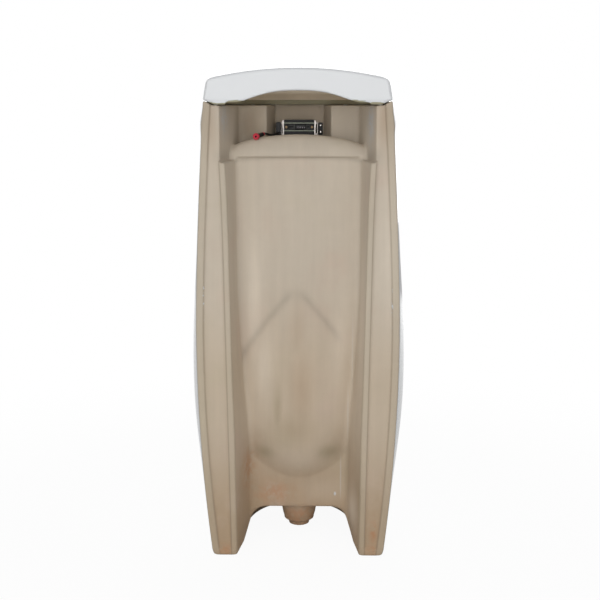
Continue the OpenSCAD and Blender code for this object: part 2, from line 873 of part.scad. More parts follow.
// Cradle of steel sheet: two sides and a floor, a lip over each edge of the
// cover's slot, and a flange with a turned-up rib on each side
module sensor_frame() {
    low = sensor_z - sensor_h / 2;
    high = sensor_z + sensor_h / 2;
    flange_d = body_front - steel_t;
    lip_d = body_rear - rest;
    color(steel)
        difference() {
            union() {
                block([-cradle_half, body_rear - 1, low - rest - steel_t],
                    [cradle_half, body_front, low - rest]);
                for (z = [low + 14.5, high - 8])
                    block([-cradle_half, lip_d - steel_t, z], [cradle_half, lip_d, z + 2.5]);
                for (s = [-1, 1]) {
                    inner = s * (cradle_half - steel_t);
                    outer = s * (cradle_half + flange_w);
                    rib = s * (cradle_half + 5);
                    block([min(inner, s * cradle_half), lip_d - steel_t, low - rest - steel_t],
                        [max(inner, s * cradle_half), body_front, high - 1]);
                    block([min(inner, outer), flange_d, low + 2],
                        [max(inner, outer), body_front, high - 2]);
                    block([rib - steel_t / 2, flange_d - 14, low + 4],
                        [rib + steel_t / 2, flange_d + 0.5, high - 4]);
                }
            }
            for (s = [-1, 1])
                rod_y(screw_r + fit, flange_d - 1, body_front + 1,
                    frame_screw_x, sensor_z + s * screw_pitch / 2);
        }
}

// Plastic block on the right flange, under the heads of the two screws
module fixing_block() {
    color(plastic)
        difference() {
            translate([frame_screw_x, 0, 0])
                slab(9, sensor_h - 12, 2, body_front - steel_t - block_t,
                    body_front - steel_t - 0.02, sensor_z);
            for (s = [-1, 1])
                rod_y(screw_r + fit, body_front - 20, body_front,
                    frame_screw_x, sensor_z + s * screw_pitch / 2);
        }
}

// Housing with its nose and a pocket for the terminal board
module sensor_housing() {
    color(plastic)
        difference() {
            union() {
                slab(sensor_w, sensor_h, 1.5, body_rear + cover_t, body_front, sensor_z);
                slab(nose_w - 2 * china_gap, nose_h - 2 * china_gap, 5,
                    body_front - 1, bezel_d, sensor_z);
            }
            slab(sensor_w - 18, sensor_h - 10, 1.5, body_rear, body_rear + cover_t + 14, sensor_z);
            for (s = [-1, 1])
                rod_y(1.5, body_rear, body_rear + cover_t + 10, s * cover_screw_x, slot_z);
        }
}

// Rear cover with a slot over the terminals
module sensor_cover() {
    color(plastic)
        difference() {
            slab(sensor_w, sensor_h, 1.5, body_rear, body_rear + cover_t - 0.02, sensor_z);
            slab(sensor_w - 18, 12, 1, body_rear - 1, body_rear + cover_t + 1, slot_z);
            for (s = [-1, 1])
                rod_y(1.5 + fit, body_rear - 1, body_rear + cover_t + 1, s * cover_screw_x, slot_z);
        }
}

// Terminal board behind the slot, with a row of pins
module terminal_board() {
    pins = 5;
    color("darkgreen") {
        block([-sensor_w / 2 + 9.3, body_rear + cover_t + 12, sensor_z - sensor_h / 2 + 5.3],
            [sensor_w / 2 - 9.3, body_rear + cover_t + 14 - 0.02, sensor_z + sensor_h / 2 - 5.3]);
        for (k = [0:pins - 1])
            block([-11 + 3.4 * k - 0.6, body_rear + 3, slot_z - 2],
                [-11 + 3.4 * k + 0.6, body_rear + cover_t + 12.5, slot_z]);
    }
}

// Cheese head screw along Y, its head toward the wall at depth d
module screw_y(head_r, head_t, shank_r, len, d, x, z) {
    difference() {
        union() {
            rod_y(head_r, d - head_t, d, x, z);
            rod_y(shank_r, d - 0.5, d + len, x, z);
        }
        translate([x, at(d - head_t), z])
            cube([2 * head_r + 1, 1.4, 0.9], center = true);
    }
}

// Two brass screws that hold the cover
module cover_screws() {
    color("goldenrod")
        for (s = [-1, 1])
            screw_y(2.6, 1.8, 1.5 - fit, cover_t + 7, body_rear - 0.02, s * cover_screw_x, slot_z);
}

// Two steel screws through the flange into the china
module frame_screws() {
    color(steel)
        for (s = [-1, 1])
            screw_y(2.9, 2, screw_r, block_t + 9, body_front - steel_t - block_t - 0.02,
                frame_screw_x, sensor_z + s * screw_pitch / 2);
}

// Rubber gasket between the head and the bezel
module window_gasket() {
    color(rubber)
        difference() {
            slab(nose_w + 9, nose_h + 9, 7, bezel_d + 0.02, bezel_d + gasket_t, sensor_z);
            slab(nose_w, nose_h, 5, bezel_d - 1, bezel_d + gasket_t + 1, sensor_z);
        }
}

// Chrome bezel round the window
module window_bezel() {
    color(steel)
        difference() {
            union() {
                slab(nose_w + 12, nose_h + 12, 8,
                    bezel_d + gasket_t + 0.02, bezel_d + gasket_t + 2, sensor_z);
                slab(nose_w + 9, nose_h + 9, 7,
                    bezel_d + gasket_t + 1, bezel_d + gasket_t + 3.2, sensor_z);
            }
            slab(window_w + 2 * fit, window_h + 2 * fit, 4, bezel_d, depth, sensor_z);
        }
}

// Dark window in the bezel, in front of the nose
module sensor_window() {
    color("black")
        slab(window_w, window_h, 4, bezel_d + 0.02, bezel_d + gasket_t + 2.6, sensor_z);
}

// Cable block on the left flange, with the gland of the power lead
cable_x = cradle_half + flange_w - 5;
gland_z = sensor_z - 8;
gland_end_d = body_front - 32;

module cable_block() {
    color(plastic)
        difference() {
            union() {
                translate([cable_x, 0, 0])
                    slab(10, sensor_h - 10, 2.5, body_front - 26, body_front - steel_t - 0.02, sensor_z);
                rod_y(3.6, gland_end_d, body_front - 25, cable_x, gland_z);
            }
            rod_y(lead_r + 0.1, gland_end_d - 1, gland_end_d + 3, cable_x, gland_z);
        }
}

// ---- power lead with its round connector --------------------------------------------

lead_r = 2.25;
// Route of the lead from the gland to the connector, as [x, depth, z]
LEAD = [
    [44.3, 176.6, 870], [44.3, 171, 870], [44.8, 165, 869.7], [46.2, 159, 868.9],
    [48.4, 153, 867.9], [51.2, 147, 867], [54.3, 141, 866.5], [57.5, 135, 866.5],
    [60.6, 129, 867], [63.6, 123, 867.9], [66.3, 118, 868.9], [68.5, 114, 869.7],
    [70.4, 110.5, 870], [72.6, 105, 869.2]
];
PLUG_BACK = [72.6, 105, 869.2];
PLUG_FRONT = [86, 71, 864.6];

// Tube swept along a route with 8 sides
module tube(route, r) {
    n = 8;
    m = len(route);
    pts = [for (p = route) [p[0], at(p[1]), p[2]]];
    rings = [for (i = [0:m - 1])
        let (
            t = pts[min(i + 1, m - 1)] - pts[max(i - 1, 0)],
            along = t / norm(t),
            side = cross(along, [0, 0, 1]),
            u = side / norm(side),
            v = cross(u, along)
        )
        [for (j = [0:n - 1])
            let (a = 360 * j / n) pts[i] + r * (cos(a) * u + sin(a) * v)]];
    skin(rings);
}

// Turn +Z toward q and move to p, both given as [x, depth, z]
module aim(p, q) {
    a = [p[0], at(p[1]), p[2]];
    v = [q[0], at(q[1]), q[2]] - a;
    translate(a)
        rotate([0, acos(v[2] / norm(v)), atan2(v[1], v[0])])
            children();
}

plug_len = norm(PLUG_FRONT - PLUG_BACK);
plug_r = 5;
neck_r = 3;

module power_lead() {
    color(rubber)
        tube(LEAD, lead_r);
}

// Round connector: grip, neck and open socket
module lead_connector() {
    color(rubber)
        aim(PLUG_BACK, PLUG_FRONT)
            rotate_extrude($fn = 32)
                polygon([
                    [0, 0.02], [neck_r, 0.02], [neck_r, 3], [plug_r - 0.8, 5],
                    [plug_r - 0.8, plug_len - 7], [plug_r, plug_len - 5.5], [plug_r, plug_len],
                    [plug_r - 1.4, plug_len], [plug_r - 1.4, plug_len - 8], [0, plug_len - 8]
                ]);
}

// Red seal cap over the mouth of the connector and a small ring on its neck
module connector_ring() {
    color("crimson")
        aim(PLUG_BACK, PLUG_FRONT)
            rotate_extrude($fn = 32) {
                polygon([
                    [plug_r + 0.05, plug_len - 4.5], [plug_r + 1.6, plug_len - 4],
                    [plug_r + 1.6, plug_len + 0.2], [plug_r + 1.2, plug_len + 0.7],
                    [plug_r - 1.4, plug_len + 0.7], [plug_r - 1.4, plug_len + 0.03],
                    [plug_r + 0.05, plug_len + 0.03]
                ]);
                polygon([[neck_r + 0.05, 0.5], [neck_r + 0.9, 0.7],
                    [neck_r + 0.9, 2.6], [neck_r + 0.05, 2.9]]);
            }
}

// ---- valve ----------------------------------------------------------------------------

// The barrel lies across the niche, with the coil on the left, the inlet on the
// right, the flow screw toward the wall and the spreader stem below
valve_z = chamber_floor + 23;
nut_h = 6.5;
body_low = chamber_floor + rest + nut_h + 0.02;
barrel_r = 16;
barrel_half = 16;
boss_r = 13;
boss_end = 20;
inlet_end = 34;
inlet_bore_r = 7.5;
diaphragm_r = 12.9;
coil_r = 13.5;
coil_flange_t = 3;
coil_end = 46;
core_r = 4.2;
screw_bore_r = 3;
screw_seat = 12;
screw_boss_r = 7;
screw_boss_end = 25;

// Valve body: barrel across the niche, inlet to the right, socket below
module valve_body() {
    color("goldenrod")
        difference() {
            union() {
                rod_x(barrel_r, -barrel_half, barrel_half, valve_d, valve_z);
                rod_x(inlet_r, -inlet_end, 0, valve_d, valve_z);
                rod_x(boss_r, -boss_end, 0, valve_d, valve_z);
                rod_y(screw_boss_r, valve_d - screw_boss_end, valve_d, 0, valve_z);
                translate([0, at(valve_d), body_low])
                    cylinder(h = valve_z - body_low, r = barrel_r - 1);
            }
            rod_x(diaphragm_r + 0.1, barrel_half / 2, barrel_half + 1, valve_d, valve_z);
            rod_x(inlet_bore_r, -inlet_end - 1, -10, valve_d, valve_z);
            rod_y(screw_bore_r, valve_d - screw_boss_end - 1, valve_d - screw_seat, 0, valve_z);
            translate([0, at(valve_d), body_low - 1])
                cylinder(h = 10, r = stem_r + fit);
            translate([0, at(valve_d), body_low])
                cylinder(h = valve_z - body_low, r = stem_bore_r);
        }
}

// Solenoid coil with its flange on the valve body
module valve_coil() {
    color(rubber)
        difference() {
            union() {
                rod_x(coil_r, barrel_half + coil_flange_t, coil_end, valve_d, valve_z);
                rod_x(barrel_r, barrel_half + 0.02, barrel_half + coil_flange_t + 0.5, valve_d, valve_z);
            }
            rod_x(core_r, barrel_half - 1, coil_end + 1, valve_d, valve_z);
        }
}

plunger_foot = barrel_half - 1.5;
plunger_end = plunger_foot + 13.5;
pole_end = plunger_end + plunger_travel + 0.1;
pocket_r = 2.7;
pole_pocket = 6;
plunger_pocket = 4;
cap_r = 7;
cap_t = 3;

// Steel cap of the core tube with the pole that stops the plunger
module coil_cap() {
    color(steel)
        difference() {
            union() {
                rod_x(cap_r, coil_end + 0.02, coil_end + cap_t, valve_d, valve_z);
                rod_x(core_r - fit, pole_end, coil_end + 0.5, valve_d, valve_z);
            }
            rod_x(pocket_r, pole_end - 1, pole_end + pole_pocket, valve_d, valve_z);
        }
}

// Plunger that lifts off the diaphragm when the coil is energised
module valve_plunger() {
    color(steel)
        difference() {
            rod_x(core_r - fit, plunger_foot, plunger_end, valve_d, valve_z);
            rod_x(pocket_r, plunger_end - plunger_pocket, plunger_end + 1, valve_d, valve_z);
        }
}

// Return spring, seated in the pockets of the pole and the plunger
module plunger_spring() {
    turns = 6;
    per = 10;
    wire = 0.35;
    r = 2.1;
    from = plunger_end - plunger_pocket + wire + 0.1;
    to = pole_end + pole_pocket - wire - 0.1;
    n = turns * per;
    rings = [for (i = [0:n])
        let (a = 360 * i / per, x = mix(from, to, i / n))
        [for (j = [0:4])
            let (b = -72 * j, q = r + wire * cos(b))
            [x + wire * sin(b), at(valve_d) + q * cos(a), valve_z + q * sin(a)]]];
    color(steel)
        skin(rings);
}

// Rubber diaphragm in the barrel
module valve_diaphragm() {
    color(rubber)
        rod_x(diaphragm_r, plunger_foot - 2.1, plunger_foot - 0.1, valve_d, valve_z);
}

// Cup shaped strainer in the inlet
module inlet_filter() {
    cup_r = 6.2;
    color(steel)
        difference() {
            union() {
                rod_x(inlet_bore_r - fit, -inlet_end + 2, -inlet_end + 4, valve_d, valve_z);
                rod_x(cup_r, -inlet_end + 3.5, -14, valve_d, valve_z);
            }
            rod_x(cup_r - 1, -inlet_end + 1, -15, valve_d, valve_z);
        }
}

// Slotted screw that sets the flow
module flow_screw() {
    head_r = 5;
    head_d = valve_d - screw_boss_end - 3.5;
    color("goldenrod")
        difference() {
            union() {
                rod_y(screw_bore_r - fit, head_d + 1, valve_d - screw_seat - 2, 0, valve_z);
                rod_y(head_r, head_d, head_d + 3.2, 0, valve_z);
            }
            translate([0, at(head_d), valve_z])
                cube([2 * head_r + 2, 2, 1.2], center = true);
        }
}

// ---- spreader -----------------------------------------------------------------------------

washer_t = 2;
washer_r = 21;
stem_bore_r = 7;
spreader_h = 13;
spreader_wall = 3;
spreader_top = bowl_top - rest - washer_t - 0.02;

// Chrome spreader below the ceiling of the bowl, with its stem up to the valve
module spreader() {
    slots = 7;
    slot_pitch = 22;
    inner_r = spreader_r - 5;
    stem_len = body_low + 8 - spreader_top;
    color(steel)
        translate([0, at(valve_d), spreader_top])
            difference() {
                rotate_extrude($fn = 64)
                    polygon([
                        [stem_bore_r, stem_len], [stem_r, stem_len], [stem_r, 0],
                        [spreader_r - 1, 0], [spreader_r, -1],
                        [spreader_r, 5 - spreader_h], [inner_r + 2, 1 - spreader_h], [0, -spreader_h],
                        [0, spreader_wall - spreader_h], [inner_r, 4 - spreader_h],
                        [inner_r, -spreader_wall], [stem_bore_r, -spreader_wall]
                    ]);
                for (k = [0:slots - 1])
                    rotate([0, 0, 90 + (k - (slots - 1) / 2) * slot_pitch])
                        translate([spreader_r - 9, -1.5, -7.5])
                            cube([12, 3, 3]);
            }
}

// Rubber washer above the spreader
module spreader_washer() {
    color(rubber)
        translate([0, at(valve_d), bowl_top - rest - washer_t])
            difference() {
                cylinder(h = washer_t, r = washer_r);
                translate([0, 0, -1])
                    cylinder(h = washer_t + 2, r = stem_r + 0.1);
            }
}

// Nut on the stem above the floor of the chamber
module spreader_nut() {
    color("goldenrod")
        translate([0, at(valve_d), chamber_floor + rest])
            difference() {
                cylinder(h = nut_h, r = stem_r + 8, $fn = 6);
                translate([0, 0, -1])
                    cylinder(h = nut_h + 2, r = stem_r + fit);
            }
}

// ---- drain ----------------------------------------------------------------------------------

drain_seat = bowl_floor - drain_seat_t;
seal_t = 1.5;

// Rubber ring below the strainer
module strainer_gasket() {
    color(rubber)
        translate([0, at(drain_d), drain_seat + 0.02])
            difference() {
                cylinder(h = seal_t, r = strainer_r);
                translate([0, 0, -1])
                    cylinder(h = seal_t + 2, r = waterway_r + 1);
            }
}

// Domed strainer with a collar in the waterway
module drain_strainer() {
    holes = [6, 12, 18];
    hole_r = 1.4;
    first_row = 5;
    row_pitch = 4.5;
    collar_len = 8;
    outer_r = waterway_r - 0.3;
    inner_r = waterway_r - 1.8;
    color(steel)
        translate([0, at(drain_d), drain_seat + seal_t + 0.04])
            difference() {
                rotate_extrude($fn = 64)
                    polygon([
                        [outer_r, -collar_len], [outer_r, 0], [strainer_r, 0],
                        [strainer_r, 1.2], [strainer_r - 2, 2.2], [15, 4.2], [0, 4.8],
                        [0, 3.2], [14, 2.6], [inner_r, 1.6], [inner_r, -collar_len]
                    ]);
                for (k = [0:2], j = [0:holes[k] - 1])
                    rotate([0, 0, 360 * j / holes[k]])
                        translate([first_row + row_pitch * k, 0, -1])
                            cylinder(h = 10, r = hole_r, $fn = 16);
            }
}

china_body();
china_lid();
lid_pads();
sensor_frame();
fixing_block();
sensor_housing();
sensor_cover();
terminal_board();
cover_screws();
frame_screws();
window_gasket();
window_bezel();
sensor_window();
cable_block();
power_lead();
lead_connector();
connector_ring();
valve_body();
valve_coil();
coil_cap();
valve_plunger();
plunger_spring();
valve_diaphragm();
inlet_filter();
flow_screw();
spreader();
spreader_washer();
spreader_nut();
drain_strainer();
strainer_gasket();
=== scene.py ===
"""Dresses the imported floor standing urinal: china, lid, sensor unit, lead, valve and drain."""

import logging
import math
from dataclasses import dataclass, field
from enum import Enum
from typing import Callable, Mapping, Sequence

import bpy
import numpy as np
from mathutils import Matrix, Vector


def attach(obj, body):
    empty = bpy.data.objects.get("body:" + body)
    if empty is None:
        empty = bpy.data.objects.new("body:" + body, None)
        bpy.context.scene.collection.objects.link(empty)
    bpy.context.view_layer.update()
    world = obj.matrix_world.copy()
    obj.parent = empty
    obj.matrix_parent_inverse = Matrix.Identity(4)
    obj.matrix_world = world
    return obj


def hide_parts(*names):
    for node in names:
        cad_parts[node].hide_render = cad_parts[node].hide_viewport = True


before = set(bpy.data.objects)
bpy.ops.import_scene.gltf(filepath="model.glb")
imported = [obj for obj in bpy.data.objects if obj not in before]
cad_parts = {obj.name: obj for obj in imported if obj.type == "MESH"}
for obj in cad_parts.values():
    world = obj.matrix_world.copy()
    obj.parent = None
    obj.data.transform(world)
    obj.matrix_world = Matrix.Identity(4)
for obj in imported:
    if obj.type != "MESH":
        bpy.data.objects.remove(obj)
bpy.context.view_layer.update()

log = logging.getLogger("urinal")

MM = 0.001
Colour = tuple[float, float, float]
Point = tuple[float, float, float]
Pair = tuple[float, float]
Ring = np.ndarray
Piece = bpy.types.Object


class Side(Enum):
    """The two sides of the object, as the sign of X."""

    RIGHT = 1
    LEFT = -1


# ---- shader expressions ------------------------------------------------------


class Wire:
    """An output socket whose arithmetic adds Math nodes to its material."""

    def __init__(self, paint: "Paint", socket: bpy.types.NodeSocket) -> None:
        """Keeps the socket and the material it belongs to."""
        self.paint = paint
        self.socket = socket

    def _math(self, operation: str, *values: "Wire | float") -> "Wire":
        """Adds one Math node.

        Args:
            operation: name of the Math node's operation.
            values: its inputs in order.

        Returns:
            The node's result.
        """
        inputs = dict(enumerate(values))
        return self.paint.node("Math", {"operation": operation}, inputs)[0]

    def __add__(self, other: "Wire | float") -> "Wire":
        """Sum."""
        return self._math("ADD", self, other)

    __radd__ = __add__

    def __mul__(self, other: "Wire | float") -> "Wire":
        """Product."""
        return self._math("MULTIPLY", self, other)

    __rmul__ = __mul__

    def __sub__(self, other: "Wire | float") -> "Wire":
        """Difference."""
        return self._math("SUBTRACT", self, other)

    def __rsub__(self, other: float) -> "Wire":
        """Difference from a number."""
        return self._math("SUBTRACT", other, self)

    def __truediv__(self, other: "Wire | float") -> "Wire":
        """Quotient."""
        return self._math("DIVIDE", self, other)

    def __abs__(self) -> "Wire":
        """Size without sign."""
        return self._math("ABSOLUTE", self)

    def maximum(self, other: "Wire | float") -> "Wire":
        """The larger of two values."""
        return self._math("MAXIMUM", self, other)

    def minimum(self, other: "Wire | float") -> "Wire":
        """The smaller of two values."""
        return self._math("MINIMUM", self, other)

    def power(self, exponent: float) -> "Wire":
        """This value raised to a power."""
        return self._math("POWER", self, exponent)

    def step(self, low: float, high: float) -> "Wire":
        """Smooth step from 0 at low to 1 at high.

        Args:
            low: value that gives 0.
            high: value that gives 1, and may be the lower of the two.

        Returns:
            The step, between 0 and 1.
        """
        falling = low > high
        ends = {1: min(low, high), 2: max(low, high), 3: float(falling), 4: float(not falling)}
        return self.paint.node(
            "MapRange", {"interpolation_type": "SMOOTHSTEP"}, {0: self, **ends}
        )[0]


class Outputs:
    """The outputs of a node, picked by number or name."""

    def __init__(self, paint: "Paint", made: bpy.types.Node) -> None:
        """Keeps the node."""
        self.paint = paint
        self.made = made

    def __getitem__(self, key: int | str) -> Wire:
        """One output as an expression."""
        return Wire(self.paint, self.made.outputs[key])


class Paint:
    """A material and the nodes that make it."""

    def __init__(self, name: str) -> None:
        """Starts an empty material with its shader.

        Args:
            name: name of the material.
        """
        self.material = bpy.data.materials.new(name)
        self.material.use_nodes = True
        self.tree = self.material.node_tree
        self.tree.nodes.clear()
        self.shader = self.tree.nodes.new("ShaderNodeBsdfPrincipled")
        self.out = self.tree.nodes.new("ShaderNodeOutputMaterial")
        self.tree.links.new(self.shader.outputs[0], self.out.inputs[0])

    def node(
        self,
        kind: str,
        settings: Mapping[str, object] | None = None,
        inputs: Mapping[int | str, object] | None = None,
    ) -> Outputs:
        """Adds a node.

        Args:
            kind: node type without its prefix.
            settings: properties of the node.
            inputs: value or expression for each socket.

        Returns:
            The node's outputs.
        """
        made = self.tree.nodes.new("ShaderNode" + kind)
        for key, value in (settings or {}).items():
            setattr(made, key, value)
        for key, value in (inputs or {}).items():
            if isinstance(value, Wire):
                self.tree.links.new(value.socket, made.inputs[key])
            else:
                made.inputs[key].default_value = value
        return Outputs(self, made)

    def place(self) -> Wire:
        """The place of a point in the object's own frame."""
        return self.node("TexCoord")["Object"]

    def axes(self) -> tuple[Wire, Wire, Wire]:
        """X, Y and Z of a point in the object's own frame, in metres."""
        split = self.node("SeparateXYZ", None, {0: self.place()})
        return split[0], split[1], split[2]

    def stretched(self, scale: Point) -> Wire:
        """The place of a point, scaled along each axis."""
        inputs = {"Vector": self.place(), "Scale": scale}
        return self.node("Mapping", None, inputs)["Vector"]

    def noise(
        self, scale: float, detail: float = 3.0, rough: float = 0.5, at: Wire | None = None
    ) -> Wire:
        """Cloudy noise.

        Args:
            scale: blotches for each metre.
            detail: octaves.
            rough: weight of the finer octaves.
            at: place it is read at, or None for the point itself.

        Returns:
            The noise, from 0 to 1 about 0.5.
        """
        inputs = {"Vector": at or self.place(), "Scale": scale}
        inputs |= {"Detail": detail, "Roughness": rough}
        return self.node("TexNoise", None, inputs)["Fac"]

    def specks(self, scale: float, size: float) -> Wire:
        """Scattered round specks.

        Args:
            scale: cells for each metre.
            size: radius of a speck as a share of its cell.

        Returns:
            1 in a speck and 0 outside.
        """
        inputs = {"Vector": self.place(), "Scale": scale}
        cell = self.node("TexVoronoi", {"feature": "F1"}, inputs)["Distance"]
        return cell.step(size, size * 0.6)

    def attribute(self, name: str) -> Wire:
        """A value stored on the mesh."""
        return self.node("Attribute", {"attribute_name": name})["Fac"]

    def mix(self, share: Wire | float, one: object, other: object) -> Wire:
        """Blends two colours.

        Args:
            share: 0 for the first and 1 for the second.
            one: first colour.
            other: second colour.

        Returns:
            The blend.
        """
        def ready(colour: object) -> object:
            """The colour as an input of the node."""
            return colour if isinstance(colour, Wire) else (*colour, 1.0)

        inputs = {0: share, 6: ready(one), 7: ready(other)}
        return self.node("Mix", {"data_type": "RGBA"}, inputs)[2]

    def multiply(self, colour: Wire | Colour, value: Wire) -> Wire:
        """A colour scaled by a value."""
        inputs = {0: colour, "Scale": value}
        return self.node("VectorMath", {"operation": "SCALE"}, inputs)[0]

    def bump(self, height: Wire, depth: float) -> None:
        """Adds relief.

        Args:
            height: relief from 0 to 1.
            depth: depth of the relief in metres.
        """
        inputs = {"Height": height, "Distance": depth, "Strength": 1.0}
        made = self.node("Bump", None, inputs)[0]
        self.tree.links.new(made.socket, self.shader.inputs["Normal"])

    def set(self, **sockets: object) -> None:
        """Sets sockets of the shader.

        Args:
            sockets: value or expression for each socket, with _ for a space.
        """
        for name, value in sockets.items():
            socket = self.shader.inputs[name.replace("_", " ")]
            if isinstance(value, Wire):
                self.tree.links.new(value.socket, socket)
            else:
                socket.default_value = value


def tint(red: float, green: float, blue: float) -> Colour:
    """Turns a colour as seen on a screen, 0 to 255, into the linear values of a shader."""
    def linear(value: float) -> float:
        """One channel as a linear value."""
        share = value / 255
        return share / 12.92 if share <= 0.04045 else ((share + 0.055) / 1.055) ** 2.4

    return linear(red), linear(green), linear(blue)


# ---- mesh work ---------------------------------------------------------------


class Bench:
    """Mesh work on one object at a time, with sizes in millimetres."""

    @staticmethod
    def clear() -> None:
        """Deselects everything."""
        bpy.ops.object.select_all(action="DESELECT")

    @classmethod
    def pick(cls, piece: Piece) -> None:
        """Selects one object alone and makes it active."""
        cls.clear()
        piece.select_set(True)
        bpy.context.view_layer.objects.active = piece

    @classmethod
    def edit(cls, piece: Piece, *steps: Callable[[], object]) -> None:
        """Runs operators on the whole of a mesh in edit mode.

        Args:
            piece: object to change.
            steps: calls without arguments, in order.
        """
        cls.pick(piece)
        bpy.ops.object.mode_set(mode="EDIT")
        bpy.ops.mesh.select_all(action="SELECT")
        for step in steps:
            step()
        bpy.ops.object.mode_set(mode="OBJECT")

    @classmethod
    def finish(cls, piece: Piece, kind: str, **settings: object) -> None:
        """Adds a modifier and applies it.

        Args:
            piece: object to change.
            kind: type of the modifier.
            settings: its properties.
        """
        cls.pick(piece)
        bpy.ops.object.modifier_add(type=kind)
        modifier = piece.modifiers[-1]
        for name, value in settings.items():
            setattr(modifier, name, value)
        bpy.ops.object.modifier_apply(modifier=modifier.name)

    @classmethod
    def work(cls, piece: Piece, *tools: Piece, operation: str = "DIFFERENCE") -> Piece:
        """Cuts, joins or crosses a piece with tools, which are used up.

        Args:
            piece: object to change.
            tools: closed solids.
            operation: name of the boolean operation.

        Returns:
            The piece.
        """
        for tool in tools:
            cls.finish(piece, "BOOLEAN", object=tool, operation=operation, solver="MANIFOLD")
            bpy.data.objects.remove(tool)
        return piece

    @classmethod
    def freeze(cls, piece: Piece) -> Piece:
        """Puts the place and size of an object into its mesh."""
        cls.pick(piece)
        bpy.ops.object.transform_apply(location=True, rotation=True, scale=True)
        return piece

    @classmethod
    def outward(cls, piece: Piece) -> None:
        """Merges doubled points, closes open ends and turns all faces out."""
        cls.edit(
            piece,
            lambda: bpy.ops.mesh.remove_doubles(threshold=1e-6),
            lambda: bpy.ops.mesh.fill_holes(sides=0),
            lambda: bpy.ops.mesh.normals_make_consistent(inside=False),
        )

    @classmethod
    def loft(cls, name: str, rings: Sequence[Ring]) -> Piece:
        """Rolls a grid into a solid through a stack of rings of equal count.

        Args:
            name: name of the object.
            rings: arrays of points, in order along the solid.

        Returns:
            The object, with its faces outwards.
        """
        count, stack = len(rings[0]), len(rings)
        cls.clear()
        bpy.ops.mesh.primitive_grid_add(x_subdivisions=count, y_subdivisions=stack - 1, size=1)
        piece = bpy.context.object
        piece.name = piece.data.name = name
        points = np.array([np.concatenate([ring, ring[:1]]) for ring in rings]) * MM
        piece.data.vertices.foreach_set("co", points.reshape(-1))
        cls.outward(piece)
        return piece

    @classmethod
    def block(cls, low: Point, high: Point) -> Piece:
        """Makes a box between two corners."""
        middle = [(a + b) / 2 * MM for a, b in zip(low, high)]
        size = [(b - a) * MM for a, b in zip(low, high)]
        cls.clear()
        bpy.ops.mesh.primitive_cube_add(size=1, location=middle, scale=size)
        return cls.freeze(bpy.context.object)

    @classmethod
    def rod(cls, radius: float, start: Point, end: Point, sides: int = 64) -> Piece:
        """Makes a cylinder between two points."""
        one, other = Vector(start) * MM, Vector(end) * MM
        along = other - one
        cls.clear()
        bpy.ops.mesh.primitive_cylinder_add(
            vertices=sides,
            radius=radius * MM,
            depth=along.length,
            location=(one + other) / 2,
            rotation=along.to_track_quat("Z", "Y").to_euler(),
        )
        return cls.freeze(bpy.context.object)

    @classmethod
    def copied(cls, node: str, bevel: float) -> Piece:
        """Copies a node of the frame and softens its edges.

        Args:
            node: name of the node.
            bevel: width of the softened edges.

        Returns:
            The copy.
        """
        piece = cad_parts[node].copy()
        piece.data = piece.data.copy()
        piece.parent = None
        piece.matrix_world = Matrix.Identity(4)
        bpy.context.scene.collection.objects.link(piece)
        cls.edit(
            piece,
            lambda: bpy.ops.mesh.remove_doubles(threshold=1e-6),
            lambda: bpy.ops.mesh.dissolve_limited(angle_limit=math.radians(1)),
        )
        return cls.soften(piece, bevel, math.radians(32))

    @classmethod
    def smooth(cls, piece: Piece, angle: float = 180) -> None:
        """Shades a piece smooth where its faces turn less than an angle in degrees."""
        cls.pick(piece)
        if angle < 180:
            bpy.ops.object.shade_smooth_by_angle(angle=math.radians(angle))
        else:
            bpy.ops.object.shade_smooth()

    @classmethod
    def soften(cls, piece: Piece, width: float, sharpest: float = 0.6) -> Piece:
        """Rounds the edges of a piece and shades it.

        Args:
            piece: object to change.
            width: width of the softened edges.
            sharpest: turn in radians that stays as it is.

        Returns:
            The piece.
        """
        limit = {"limit_method": "ANGLE", "angle_limit": sharpest}
        cls.finish(piece, "BEVEL", width=width * MM, segments=2, **limit)
        cls.smooth(piece, 35)
        return piece

    @classmethod
    def cast(cls, piece: Piece, voxel: float, rounds: int) -> None:
        """Rebuilds a solid from voxels and rounds it by smoothing.

        Args:
            piece: object to change.
            voxel: edge of a voxel.
            rounds: rounds of smoothing.
        """
        cls.finish(piece, "REMESH", mode="VOXEL", voxel_size=voxel * MM, adaptivity=0.0)
        cls.finish(piece, "SMOOTH", factor=0.5, iterations=rounds)

    @classmethod
    def thin(cls, piece: Piece, triangles: int) -> None:
        """Thins a mesh to a number of triangles."""
        piece.data.calc_loop_triangles()
        share = triangles / max(1, len(piece.data.loop_triangles))
        if share < 1:
            cls.finish(piece, "DECIMATE", ratio=share, use_collapse_triangulate=True)

    @classmethod
    def refine(cls, piece: Piece, longest: float, least_y: float) -> None:
        """Splits long edges at the rear, so that stored values keep their shape.

        Args:
            piece: object to change.
            longest: length in millimetres that stays whole.
            least_y: Y of the foremost edges that are split.
        """
        for _ in range(3):
            ends = np.empty(len(piece.data.edges) * 2, dtype=np.int32)
            piece.data.edges.foreach_get("vertices", ends)
            pairs = cls.points(piece)[ends.reshape(-1, 2)]
            long = np.linalg.norm(pairs[:, 0] - pairs[:, 1], axis=1) > longest
            long &= pairs[:, :, 1].min(axis=1) > least_y
            cls.pick(piece)
            bpy.ops.object.mode_set(mode="EDIT")
            bpy.ops.mesh.select_mode(type="EDGE")
            bpy.ops.mesh.select_all(action="DESELECT")
            bpy.ops.object.mode_set(mode="OBJECT")
            piece.data.edges.foreach_set("select", long)
            bpy.ops.object.mode_set(mode="EDIT")
            bpy.ops.mesh.subdivide(number_cuts=1)
            bpy.ops.mesh.select_all(action="SELECT")
            bpy.ops.mesh.quads_convert_to_tris()
            bpy.ops.mesh.select_mode(type="VERT")
            bpy.ops.object.mode_set(mode="OBJECT")

